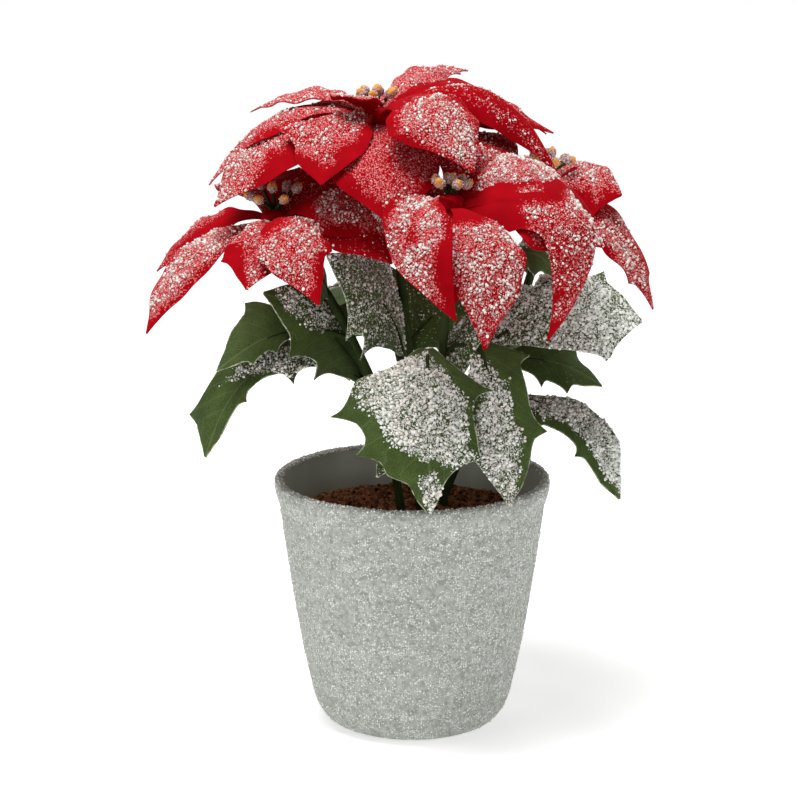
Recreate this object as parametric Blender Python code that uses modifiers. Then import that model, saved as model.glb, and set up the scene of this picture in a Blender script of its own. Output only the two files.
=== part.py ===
# Artificial frosted poinsettia in its pot, standing on its own base.
# Modelled in metres, +Z up, origin in the middle of the pot's underside, front towards -Y.
# Blades, stems and heads are dimensioned in millimetres and scaled by MM when they become meshes.

import math

import bmesh
import bpy
import numpy as np
from mathutils import Matrix, Vector

MM = 0.001
GAP = 0.3
SLIVER = 0.005

POT_HEIGHT = 110.0
POT_RADIUS = 60.0
POT_WALL = 4.4
POT_FLOOR = 7.0
POT_STEPS = 32
FOOT_RADIUS = 31.0
FOOT_HEIGHT = 6.0
WALL_LOW = 40.7
WALL_HIGH = 57.8
LIP_START = 98.0

SOIL_TOP = 92.0
HOLE_BOTTOM = 50.0

STEM_RADIUS = 2.0
PETIOLE_RADIUS = 1.0
STEM_POINTS = 9

BLADE_THICKNESS = 0.8
HEAD_RADIUS = 6.5
HEAD_ABOVE = 1.0
HEAD_BELOW = 11.0
BRACT_OUT = 4.0

BUD_COUNT = 7
BUD_RADIUS = 2.3
BUD_LENGTH = 1.3
STALK_RADIUS = 0.8
STALK_RING = 2.2
STALK_TURN = 17.0

# Half widths of the cut outlines: (share of the length, share of the half width) from root to tip.
OUTLINES = {
    "plain": [(0, .14), (.15, .38), (.34, .87), (.5, 1), (.66, .88), (.82, .5), (1, .03)],
    "full": [(0, .14), (.15, .32), (.34, .77), (.56, 1), (.74, .84), (.88, .4), (1, .03)],
    "tooth": [(0, .14), (.15, .38), (.34, .87), (.5, 1), (.7, .66), (.78, .7), (.83, .38), (1, .03)],
    "lobe": [(0, .14), (.15, .42), (.34, .86), (.5, 1), (.56, .8), (.66, .64), (.8, .52), (1, .03)],
    "jag": [(0, .14), (.15, .45), (.36, 1), (.45, .78), (.62, .86), (.69, .54), (.82, .36), (1, .03)],
    "late": [(0, .14), (.2, .3), (.45, .64), (.66, .92), (.75, 1), (.79, .7), (.9, .36), (1, .03)],
    "shield": [(0, .1), (.14, .55), (.3, .95), (.36, 1), (.45, .72), (.66, .45), (.82, .22), (1, .03)],
    "heel": [(0, .1), (.15, .3), (.3, 1), (.36, .5), (.6, .36), (.66, .52), (.71, .34), (.86, .3),
             (1, .03)],
    "spur": [(0, .1), (.16, .5), (.34, .92), (.5, .95), (.66, .8), (.86, 1), (.9, .55), (1, .03)],
    "apron": [(0, .3), (.08, 1.2), (.16, 1.5), (.26, 1.2), (.4, 1), (.66, .88), (.82, .5), (1, .03)],
    "holly": [(0, .1), (.14, .4), (.27, .98), (.32, .64), (.52, 1), (.57, .6), (.76, .8), (.81, .42),
              (1, .03)],
    "thorn": [(0, .1), (.14, .4), (.36, 1), (.42, .7), (.66, .96), (.71, .54), (.82, .38), (1, .03)],
    "broad left": [(0, .08), (.12, .34), (.2, .6), (.27, .9), (.33, .66), (.42, .6), (.58, .66),
                   (.7, .72), (.74, .42), (.84, .2), (.93, .12), (1, .03)],
    "broad right": [(0, .08), (.12, .36), (.22, .74), (.33, .82), (.43, 1), (.49, .72), (.58, .64),
                    (.67, .74), (.71, .5), (.79, .42), (.84, .22), (.93, .13), (1, .03)],
    "two teeth": [(0, .08), (.07, .5), (.14, 1), (.2, .66), (.42, .6), (.6, .86), (.65, .55),
                  (.8, .42), (.9, .28), (1, .03)],
    "shoulder": [(0, .08), (.1, .45), (.22, 1), (.32, .84), (.5, .86), (.7, 1.04), (.75, .7),
                 (.85, .46), (.93, .22), (1, .03)],
    "far tooth": [(0, .08), (.15, .35), (.32, .58), (.5, .72), (.75, .82), (.84, 1), (.88, .55),
                  (.93, .3), (1, .03)],
}


def bract(heading, reach, drop, width, arch, lift=0.0, **shape):
    return dict(heading=heading, reach=reach, drop=drop, width=width, arch=arch, lift=lift, **shape)


def leaf(base, heading, reach, drop, width, arch, joins, **shape):
    return dict(base=base, heading=heading, reach=reach, drop=drop, width=width, arch=arch,
                joins=joins, **shape)


# One entry for each flower head: where its centre is, where its stem stands in the soil and the
# points that the stem bends through, then its bracts and the leaves that grow on the stem.
# A heading is in degrees, 0 towards +X and 90 towards +Y; reach and drop give the tip from the root.
HEADS = {
    "top": dict(
        centre=(-15, -8, 271),
        bud_nod=(-90, 0),
        bud_turn=20,
        bud_tilt=(38, 54),
        bud_stalk=6.5,
        foot=(3, 1),
        route=[(2, 4, 130), (-3, 5, 180), (-9, 1, 232)],
        bracts=[
            bract(-84, 48, 34, 46, .18, lift=-6, cup=6, strips=4),
            bract(-117, 45, 23, 38, .14, lift=-2, right="lobe", right_scale=1.5, left_scale=.6, roll=10, strips=4),
            bract(-159, 68, 32, 42, .12, lift=-5, cup=5, roll=22, left_scale=.6, right_scale=1.1, strips=4),
            bract(170, 69, 30, 34, .22, lift=-4, cup=5, roll=5, strips=4),
            bract(157, 55, 3, 20, .15, lift=-1, cup=1, roll=10),
            bract(55, 65, -10, 17, .12, lift=0, left="tooth", right="tooth", cup=2, roll=-15),
            bract(-125, 21, -9, 26, .14, lift=-1, cup=1),
            bract(30, 81, 15, 32, .18, lift=-1, left="full", right="full", cup=2, roll=-15),
            bract(17, 75, 11, 32, .12, lift=-2, left="tooth", right="tooth", roll=-25),
            bract(0, 73, 26, 28, .3, lift=-3, cup=9, roll=-25, right_scale=.8, strips=4),
            bract(-48, 55, 19, 42, .3, lift=-1, cup=7, roll=-10, left_scale=.8, right_scale=1.15, strips=4),
            bract(74, 69, 24, 36, .22, lift=-3, left="tooth", right="tooth", cup=4),
            bract(123, 60, 22, 34, .22, lift=-3, left="tooth", right="tooth", cup=4),
            bract(99, 50, 21, 32, .24, lift=-6, cup=4),
        ],
        leaves=[
            leaf((-4, -12, 166), -137, 43, -49, 54, .12, 148, left="thorn", right="shield",
                 left_scale=1.2, right_scale=1.1, cup=4, roll=60),
            leaf((-2, 8, 164), 5, 36, -28, 50, .12, 151, left="thorn", right="thorn", left_scale=1.2,
                 roll=-65),
        ],
    ),
    "left": dict(
        centre=(-58, -18, 229),
        bud_nod=(-110, 14),
        bud_turn=0,
        bud_tilt=(40, 54),
        bud_stalk=10,
        foot=(-5, -8),
        route=[(-11, -19, 136), (-20, -28, 165), (-40, -27, 202)],
        bracts=[
            bract(-155, 54, 42, 32, .16, lift=-5, cup=5, roll=22, left_scale=.55, right_scale=.9, strips=4),
            bract(169, 48, 25, 26, .16, lift=-2, roll=22),
            bract(-71, 57, 24, 34, .24, lift=-4, left="jag", right="full", left_scale=.75,
                  right_scale=1.1, cup=5, strips=4),
            bract(-25, 48, 8, 32, .22, lift=-1, cup=4, roll=-25),
            bract(-33, 55, 13, 24, .14, lift=-3, cup=2, roll=-30),
            bract(18, 40, -5, 30, .22, lift=-1, cup=2, roll=-40),
            bract(70, 24, -18, 26, .12, lift=-3, cup=2),
            bract(-100, 49, 18, 34, .2, lift=-5, right="late", right_scale=.75, cup=4, roll=10, strips=4),
            bract(112, 54, -5, 30, .22, lift=-4, cup=4),
            bract(82, 55, 4, 30, .22, lift=-3, cup=4),
        ],
        leaves=[
            leaf((-45, -34, 182), -154, 40, 14, 36, .1, 176, left="thorn", right="shield",
                 left_scale=.45, right_scale=1.12, cup=2, roll=45, strips=4),
            leaf((-26, -26, 159), -158, 65, 28, 34, .34, 154, left="heel", right="spur",
                 left_scale=.8, right_scale=1.05, roll=32, strips=4),
            leaf((-20, -22, 155), -150, 48, -45, 45, .1, 150, left="thorn", right="thorn", roll=60),
            leaf((-35, -28, 194), -124, 16, -19, 34, .1, 188, cup=2, roll=60),
        ],
    ),
    "front": dict(
        centre=(15, -46, 240),
        bud_nod=(-30, 12),
        bud_turn=-12,
        bud_tilt=(34, 50),
        bud_stalk=6,
        foot=(9, -6),
        route=[(9, -19, 132), (12, -30, 163), (14, -41, 199)],
        bracts=[
            bract(-88, 48, 39, 27, .32, lift=-2, cup=-4, swerve=.25, strips=4),
            bract(-74, 44, 50, 40, .3, lift=-4, cup=5, right_scale=.65, strips=4),
            bract(-22, 39, 52, 28, .5, lift=-5, right="apron", roll=-45, right_scale=.6),
            bract(23, 62, 11, 40, .28, lift=-1, left_scale=.6, cup=6, roll=-25, strips=4),
            bract(-4, 59, 17, 38, .22, lift=-3, right="full", right_scale=1.33, cup=5, roll=-30, strips=4),
            bract(-87, 30, 33, 20, .22, lift=-5),
            bract(65, 62, -18, 32, .16, lift=-2, left_scale=1.4, roll=-20),
            bract(132, 31, 6, 30, .16, lift=-2, roll=10),
        ],
        leaves=[
            leaf((6, -42, 176), -89, 40, 60, 60, .16, 166, left="broad left", right="broad right",
                 right_scale=1.35, strips=4),
            leaf((25, -38, 178), -66, 35, 62, 44, .16, 170, left="two teeth", right_scale=.8, cup=2,
                 roll=-10, strips=4),
            leaf((12, -24, 170), -47, 27, -12, 26, .1, 158, left="thorn", right_scale=1.5, cup=2, roll=-55),
            leaf((7, -20, 137), -124, 39, 14, 24, .1, 132, left="thorn", right="thorn", cup=2),
        ],
    ),
    "right": dict(
        centre=(59, 24, 238),
        bud_nod=(-10, 10),
        bud_turn=40,
        bud_tilt=(42, 56),
        bud_stalk=9,
        foot=(14, 8),
        route=[(27, 16, 129), (44, 23, 169), (56, 27, 208)],
        bracts=[
            bract(-18, 29, 4, 22, .12, lift=-3, right="late", right_scale=1.3, roll=-45),
            bract(-19, 44, 53, 24, .14, lift=-3, left="tooth", right="tooth", cup=4, roll=-20),
            bract(68, 54, 14, 32, .22, lift=-3, left="tooth", right="tooth"),
            bract(101, 49, 7, 32, .22, lift=-3),
            bract(45, 24, 31, 30, .26, lift=-5, left="tooth", right="tooth"),
            bract(154, 19, 9, 28, .22, lift=-3),
        ],
        leaves=[
            leaf((32, -6, 169), -14, 67, -14, 44, .12, 158, left="shoulder", right="far tooth", roll=-50,
                 strips=4),
            leaf((38, -4, 144), -36, 61, 34, 36, .22, 136, left="full", right="heel", left_scale=.8,
                 right_scale=1.1, roll=-20),
            leaf((38, 4, 160), 5, 45, 12, 30, .12, 150, left="thorn", right="thorn", cup=2, roll=-35),
            leaf((37, 8, 193), -4, 29, 0, 32, .5, 178, left="thorn", right="thorn", cup=2, roll=-20),
            leaf((55, 34, 186), 50, 49, 33, 38, .24, 180, left="thorn", right="thorn", roll=-10),
            leaf((44, 30, 166), 93, 62, 35, 40, .24, 160, left="holly", right="holly"),
        ],
    ),
    "back": dict(
        centre=(-18, 62, 228),
        bud_nod=(100, 10),
        bud_turn=10,
        bud_tilt=(36, 52),
        bud_stalk=11,
        foot=(5, 14),
        route=[(-1, 35, 132), (-10, 52, 174), (-17, 61, 206)],
        bracts=[
            bract(20, 37, 27, 34, .26, lift=-3, left="tooth", right="tooth", cup=4),
            bract(69, 56, 25, 34, .26, lift=-1, cup=4),
            bract(100, 57, 24, 34, .26, lift=-3, left="tooth", right="tooth", cup=4),
            bract(133, 53, 23, 34, .26, lift=-1, cup=4),
            bract(175, 46, 22, 32, .22, lift=-3, left="tooth", right="tooth", cup=4),
            bract(-130, 33, 12, 26, .22, lift=-5),
            bract(-62, 30, 15, 26, .22, lift=-5),
        ],
        leaves=[
            leaf((-9, 52, 168), 69, 62, 26, 40, .24, 164, left="holly", right="holly"),
            leaf((-11, 56, 177), 110, 60, 26, 40, .24, 170, left="thorn", right="thorn"),
            leaf((-7, 48, 158), 135, 48, 10, 38, .22, 154, left="holly", right="holly"),
            leaf((2, 32, 122), 74, 58, 9, 34, .24, 118, left="thorn", right="thorn"),
        ],
    ),
}


def clear_scene():
    for thing in list(bpy.data.objects):
        bpy.data.objects.remove(thing, do_unlink=True)


def make_collection(name):
    collection = bpy.data.collections.new(name)
    bpy.context.scene.collection.children.link(collection)
    return collection


def make_material(name, colour, roughness):
    material = bpy.data.materials.new(name)
    material.use_nodes = True
    shader = material.node_tree.nodes["Principled BSDF"]
    shader.inputs["Base Color"].default_value = (*colour, 1.0)
    shader.inputs["Roughness"].default_value = roughness
    return material


def mesh_object(name, mesh, collection, material=None):
    thing = bpy.data.objects.new(name, mesh)
    collection.objects.link(thing)
    if material:
        mesh.materials.clear()
        mesh.materials.append(material)
    return thing


def evaluated_mesh(thing):
    bpy.context.view_layer.update()
    depsgraph = bpy.context.evaluated_depsgraph_get()
    return bpy.data.meshes.new_from_object(thing.evaluated_get(depsgraph))


def unit(vectors):
    return vectors / np.linalg.norm(vectors, axis=-1, keepdims=True)


def half_width(blade, side, along):
    """Half width in mm on one side, "left" or "right" of someone who looks from root to tip."""
    points = np.array(OUTLINES[blade.get(side, "plain")])
    share = np.interp(along, points[:, 0], points[:, 1])
    return share * blade.get(side + "_scale", 1.0) * blade["width"] / 2


def blade_surface(blade, root, along, across):
    """Points in mm of a blade's middle surface, at shares along it and across it (-1 left, 1 right).

    The rib is the chord from root to tip, raised by a parabola of height arch times the chord
    and bent sideways by swerve. The blade is rolled round its rib and its edges drop by cup.
    """
    heading = math.radians(blade["heading"])
    reach = blade["reach"]
    chord = np.array([reach * math.cos(heading), reach * math.sin(heading), -blade["drop"]])
    length = np.linalg.norm(chord)
    side = unit(np.cross(chord, [0.0, 0.0, 1.0]))
    bow = length * (blade["arch"] * np.cross(side, chord / length) + blade.get("swerve", 0.0) * side)

    def rib(share):
        early = share ** 0.868
        return root + share[..., None] * chord + (4 * early * (1 - early))[..., None] * bow

    step = 0.001
    swept = np.clip(along + 0.12 * across ** 2 * along * (1 - along), step, 1.0)
    forward = unit(rib(swept + step) - rib(swept - step))
    sideways = unit(side - (forward @ side)[..., None] * forward)
    normal = np.cross(sideways, forward)
    roll = math.radians(blade.get("roll", 0.0))
    sideways, normal = (math.cos(roll) * sideways + math.sin(roll) * normal,
                        math.cos(roll) * normal - math.sin(roll) * sideways)
    half = np.where(across >= 0, half_width(blade, "right", along), half_width(blade, "left", along))
    drop = blade.get("cup", 3.0) * np.abs(across) ** 1.7 * half / (blade["width"] / 2)
    return rib(swept) + (across * half)[..., None] * sideways - drop[..., None] * normal


def blade_stations(blade):
    """Shares of the length that hold every corner of both cut edges."""
    corners = {share for side in ("left", "right") for share, _ in OUTLINES[blade.get(side, "plain")]}
    stations = [0.0]
    for share in sorted(corners):
        if share - stations[-1] > 0.025:
            stations.append(share)
    stations[-1] = 1.0
    return np.array(stations)


def make_blade(name, blade, root, collection):
    """A thin cut sheet: a grid moved onto the blade's surface, given its thickness by Solidify."""
    stations = blade_stations(blade)
    strips = blade.get("strips", 2)
    shares = np.linspace(-1.0, 1.0, strips + 1)
    along, across = np.meshgrid(stations, shares, indexing="ij")
    points = blade_surface(blade, np.array(root, float), along, across) * MM

    grid = bmesh.new()
    bmesh.ops.create_grid(grid, x_segments=len(stations) - 1, y_segments=strips, size=1.0)
    for vertex in grid.verts:
        row = round((vertex.co.x + 1) / 2 * (len(stations) - 1))
        column = round((1 - vertex.co.y) / 2 * strips)
        vertex.co = Vector(points[row, column])
    bmesh.ops.triangulate(grid, faces=grid.faces)
    mesh = bpy.data.meshes.new(name)
    grid.to_mesh(mesh)
    grid.free()

    sheet = mesh_object(name, mesh, collection)
    solidify = sheet.modifiers.new("thickness", "SOLIDIFY")
    solidify.thickness = BLADE_THICKNESS * MM
    solidify.offset = 0.0
    return sheet


def smooth_route(points, count):
    """A Catmull-Rom curve through the points, as count points."""
    points = np.array(points, float)
    ends = np.vstack([2 * points[0] - points[1], points, 2 * points[-1] - points[-2]])
    result = []
    for share in np.linspace(0, len(points) - 1, count):
        index = min(int(share), len(points) - 2)
        t = share - index
        a, b, c, d = ends[index:index + 4]
        result.append(0.5 * (2 * b + (c - a) * t + (2 * a - 5 * b + 4 * c - d) * t ** 2
                             + (3 * b - a - 3 * c + d) * t ** 3))
    return np.array(result)


def make_tube(name, route, radius, collection, rounding=2):
    """A round tube with closed ends along the route, which is in mm."""
    curve = bpy.data.curves.new(name + "_line", "CURVE")
    curve.dimensions = "3D"
    curve.bevel_depth = radius * MM
    curve.bevel_resolution = rounding
    curve.use_fill_caps = True
    spline = curve.splines.new("POLY")
    spline.points.add(len(route) - 1)
    for point, place in zip(spline.points, route):
        point.co = (*(np.array(place) * MM), 1.0)
    guide = bpy.data.objects.new(name + "_line", curve)
    collection.objects.link(guide)
    mesh = evaluated_mesh(guide)
    shape = bmesh.new()
    shape.from_mesh(mesh)
    bmesh.ops.remove_doubles(shape, verts=shape.verts, dist=0.00001)
    shape.to_mesh(mesh)
    shape.free()
    tube = mesh_object(name, mesh, collection)
    tube.matrix_world = guide.matrix_world
    bpy.data.objects.remove(guide, do_unlink=True)
    return tube


def make_turned(name, profile, steps, collection, material=None):
    """A profile of (radius, height) points in mm, turned round the Z axis through its centre."""
    mesh = bpy.data.meshes.new(name)
    edges = [(i, i + 1) for i in range(len(profile) - 1)]
    mesh.from_pydata([(radius * MM, 0.0, height * MM) for radius, height in profile], edges, [])
    turned = mesh_object(name, mesh, collection, material)
    screw = turned.modifiers.new("turn", "SCREW")
    screw.steps = steps
    screw.render_steps = steps
    screw.use_merge_vertices = True
    screw.merge_threshold = 0.00001
    return turned


def combine(base, pieces, operation="UNION", solver="MANIFOLD"):
    """Joins the pieces to the base, or cuts them from it, in one Boolean on their collection."""
    pool = make_collection(base.name + "_pool")
    for piece in pieces:
        for owner in list(piece.users_collection):
            owner.objects.unlink(piece)
        pool.objects.link(piece)
    boolean = base.modifiers.new("combine", "BOOLEAN")
    boolean.operation = operation
    boolean.operand_type = "COLLECTION"
    boolean.collection = pool
    boolean.solver = solver
    mesh = evaluated_mesh(base)
    clean = bmesh.new()
    clean.from_mesh(mesh)
    bmesh.ops.dissolve_degenerate(clean, dist=SLIVER * MM, edges=clean.edges)
    clean.to_mesh(mesh)
    clean.free()
    base.modifiers.clear()
    base.data = mesh
    for piece in pieces:
        bpy.data.objects.remove(piece, do_unlink=True)
    bpy.data.collections.remove(pool)
    return base


def smooth_shading(thing, angle=40.0):
    thing.data.shade_smooth()
    thing.data.set_sharp_from_angle(angle=math.radians(angle))


def wall_radius(height):
    """Outer radius of the pot in mm at a height: a round foot, a wall that swells a little, a lip."""
    if height < FOOT_HEIGHT:
        return FOOT_RADIUS + (WALL_LOW - FOOT_RADIUS) * (height / FOOT_HEIGHT) ** 0.35
    share = min((height - FOOT_HEIGHT) / (LIP_START - FOOT_HEIGHT), 1.0)
    lip = max(height - LIP_START, 0.0) / (POT_HEIGHT - LIP_START)
    return WALL_LOW + (WALL_HIGH - WALL_LOW) * share ** 0.7 + (POT_RADIUS - WALL_HIGH) * min(lip * 1.6, 1.0)


def make_pot(collection):
    material = make_material("grey stone paint", (0.30, 0.34, 0.31), 0.85)
    outer_heights = [POT_HEIGHT - 1.2, 104, LIP_START, 68, 36, 16, FOOT_HEIGHT, 2, 0.4, 0]
    inner_heights = [POT_FLOOR + 8, 46, SOIL_TOP - 2, POT_HEIGHT - 1.2]
    profile = [(0, POT_FLOOR), (wall_radius(POT_FLOOR) - POT_WALL - 4, POT_FLOOR)]
    profile += [(wall_radius(height) - POT_WALL, height) for height in inner_heights]
    profile += [(POT_RADIUS - POT_WALL + 1.2, POT_HEIGHT), (POT_RADIUS - 1.2, POT_HEIGHT)]
    profile += [(wall_radius(height), height) for height in outer_heights]
    profile += [(0, 0)]
    pot = make_turned("pot", profile, POT_STEPS, collection, material)
    smooth_shading(pot)
    return pot


def make_soil(collection):
    material = make_material("potting soil", (0.05, 0.02, 0.012), 0.95)
    bottom = POT_FLOOR + GAP
    heights = [SOIL_TOP, SOIL_TOP - 2, 46, POT_FLOOR + 8]
    edge = [(wall_radius(height) - POT_WALL - GAP - 0.3, height) for height in heights]
    profile = [(0, SOIL_TOP + 2.5), (32, SOIL_TOP + 1.6)] + edge
    profile += [(wall_radius(POT_FLOOR) - POT_WALL - 4.5, bottom), (0, bottom)]
    soil = make_turned("soil", profile, POT_STEPS, collection, material)
    cutters = make_collection("cutters")
    holes = []
    for name, head in HEADS.items():
        x, y = head["foot"]
        depth = SOIL_TOP + 10 - HOLE_BOTTOM
        bpy.ops.mesh.primitive_cylinder_add(
            vertices=12, radius=(STEM_RADIUS + GAP) * MM, depth=depth * MM,
            location=(x * MM, y * MM, (HOLE_BOTTOM + depth / 2) * MM))
        hole = bpy.context.object
        hole.name = "hole_" + name
        hole.hide_render = True
        hole.display_type = "WIRE"
        for owner in list(hole.users_collection):
            owner.objects.unlink(hole)
        cutters.objects.link(hole)
        holes.append(hole)
    combine(soil, holes, "DIFFERENCE", "EXACT")
    return soil


def bract_root(head, blade):
    """A bract starts a few mm out from the head's centre, towards its tip."""
    heading = math.radians(blade["heading"])
    out = np.array([math.cos(heading), math.sin(heading), 0.0]) * BRACT_OUT
    return np.array(head["centre"], float) + out + np.array([0, 0, blade["lift"]])


def make_bracts(name, head, collection, material):
    """The red bracts of one head, joined at the small boss that they grow from."""
    x, y, z = head["centre"]
    profile = [(0, HEAD_ABOVE), (HEAD_RADIUS - 1.5, HEAD_ABOVE), (HEAD_RADIUS, HEAD_ABOVE - 1.5),
               (HEAD_RADIUS, -7), (STEM_RADIUS + 1, -HEAD_BELOW), (0, -HEAD_BELOW)]
    boss = make_turned("bracts_" + name, profile, 12, collection, material)
    boss.data.transform(Matrix.Translation((0, 0, z * MM)))
    mesh = evaluated_mesh(boss)
    mesh.transform(Matrix.Translation((x * MM, y * MM, 0)))
    boss.modifiers.clear()
    boss.data = mesh
    blades = [make_blade("bract_%s_%d" % (name, index), blade, bract_root(head, blade), collection)
              for index, blade in enumerate(head["bracts"])]
    combine(boss, blades)
    smooth_shading(boss)
    return boss


def bud_places(name, head):
    """Start, direction and length of each bud stalk of one head: an upright one and a ring round it."""
    spread = np.random.default_rng(len(name))
    base = Vector(head["centre"]) + Vector((0, 0, HEAD_ABOVE + GAP + 1))
    length = head["bud_stalk"]
    towards, nod = [math.radians(angle) for angle in head["bud_nod"]]
    lean = Matrix.Rotation(nod, 4, Vector((-math.sin(towards), math.cos(towards), 0)))
    places = [(base, lean, length * 0.9)]
    for index in range(BUD_COUNT - 1):
        heading = head["bud_turn"] + 360 / (BUD_COUNT - 1) * index + spread.uniform(-8, 8)
        turn = Matrix.Rotation(math.radians(heading), 4, "Z")
        tilt = Matrix.Rotation(math.radians(spread.uniform(*head["bud_tilt"])), 4, "Y")
        places.append((base + turn @ Vector((STALK_RING, 0, 0)), lean @ turn @ tilt,
                       length * spread.uniform(0.85, 1.1)))
    return places


def make_cyathia(name, head, collection, material):
    """The small buds in the middle of one head, each on its own stalk from a common base."""
    x, y, z = head["centre"]
    low = HEAD_ABOVE + GAP
    base = make_turned("cyathia_" + name, [(0, low + 2), (STALK_RING + 1.5, low + 1.8),
                                           (STALK_RING + 1.5, low), (0, low)], 8, collection, material)
    mesh = evaluated_mesh(base)
    mesh.transform(Matrix.Translation((x * MM, y * MM, z * MM)))
    base.modifiers.clear()
    base.data = mesh
    pieces = []
    for start, turned, length in bud_places(name, head):
        direction = turned.to_3x3() @ Vector((0, 0, 1))
        bpy.ops.mesh.primitive_cone_add(vertices=4, radius1=STALK_RADIUS * MM, radius2=STALK_RADIUS * MM,
                                        depth=length * MM)
        stalk = bpy.context.object
        stalk.data.transform(Matrix.Rotation(math.radians(STALK_TURN), 4, "Z"))
        stalk.data.transform(Matrix.Translation((start + direction * length / 2) * MM) @ turned)
        bpy.ops.mesh.primitive_uv_sphere_add(segments=5, ring_count=3, radius=BUD_RADIUS * MM)
        bud = bpy.context.object
        bud.data.transform(Matrix.Diagonal((1, 1, BUD_LENGTH, 1)))
        bud.data.transform(Matrix.Translation((start + direction * length) * MM) @ turned)
        pieces += [stalk, bud]
    combine(base, pieces)
    smooth_shading(base)
    return base


def stem_route(head):
    """The stem's middle line: up from the soil, through its bends, upright into the head."""
    x, y = head["foot"]
    cx, cy, cz = head["centre"]
    end = cz - HEAD_BELOW - GAP
    points = [(x, y, SOIL_TOP + 6)] + list(head["route"]) + [(cx, cy, end - 5)]
    middle = smooth_route(points, STEM_POINTS)
    return np.vstack([(x, y, HOLE_BOTTOM + GAP), (x, y, SOIL_TOP - 6), middle, (cx, cy, end)])


def make_stem(name, head, collection, material):
    """One green stem with its leaves, each on a leaf stalk that starts inside the stem."""
    route = stem_route(head)
    stem = make_tube("stem_" + name, route, STEM_RADIUS, collection)
    stem.data.materials.append(material)
    pieces = []
    for index, blade in enumerate(head["leaves"]):
        base = np.array(blade["base"], float)
        height = blade["joins"]
        start = np.array([np.interp(height, route[:, 2], route[:, axis]) for axis in range(3)])
        ahead = blade_surface(blade, base, np.array([0.07, 0.18]), np.zeros(2))
        bend = (start + base) / 2 + np.array([0, 0, 1.5])
        stalk = smooth_route([start, bend, ahead[0], ahead[1]], 5)
        label = "%s_%d" % (name, index)
        pieces.append(make_tube("stalk_" + label, stalk, PETIOLE_RADIUS, collection, 1))
        pieces.append(make_blade("leaf_" + label, blade, base, collection))
    combine(stem, pieces)
    smooth_shading(stem)
    return stem


def main():
    clear_scene()
    plant = make_collection("poinsettia")
    red = make_material("red velvet", (0.52, 0.004, 0.016), 0.8)
    green = make_material("green leaf cloth", (0.05, 0.085, 0.03), 0.75)
    bud = make_material("frosted bud", (0.35, 0.16, 0.13), 0.7)
    make_pot(plant)
    make_soil(plant)
    for name, head in HEADS.items():
        make_stem(name, head, plant, green)
        make_bracts(name, head, plant, red)
        make_cyathia(name, head, plant, bud)


main()
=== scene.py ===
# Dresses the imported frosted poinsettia: velvet bracts, cloth leaves, snow, buds, soil and a rough pot.
# Lengths are in mm unless a name says otherwise, and pieces become metres when their mesh is made.
import functools
import math

import bmesh
import bpy
import numpy as np
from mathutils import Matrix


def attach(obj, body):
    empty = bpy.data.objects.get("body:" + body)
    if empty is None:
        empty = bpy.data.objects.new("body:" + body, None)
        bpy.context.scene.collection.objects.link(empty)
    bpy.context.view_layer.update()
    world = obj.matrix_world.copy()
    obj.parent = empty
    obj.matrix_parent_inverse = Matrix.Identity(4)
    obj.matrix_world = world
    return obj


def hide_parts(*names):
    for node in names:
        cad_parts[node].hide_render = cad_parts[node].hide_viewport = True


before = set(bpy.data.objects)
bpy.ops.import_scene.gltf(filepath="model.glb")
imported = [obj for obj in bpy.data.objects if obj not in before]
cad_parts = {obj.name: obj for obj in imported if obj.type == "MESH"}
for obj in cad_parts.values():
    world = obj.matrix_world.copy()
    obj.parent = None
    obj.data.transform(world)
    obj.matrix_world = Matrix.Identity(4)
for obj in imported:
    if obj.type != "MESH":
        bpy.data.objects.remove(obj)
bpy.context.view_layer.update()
mm = 0.001

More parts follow.
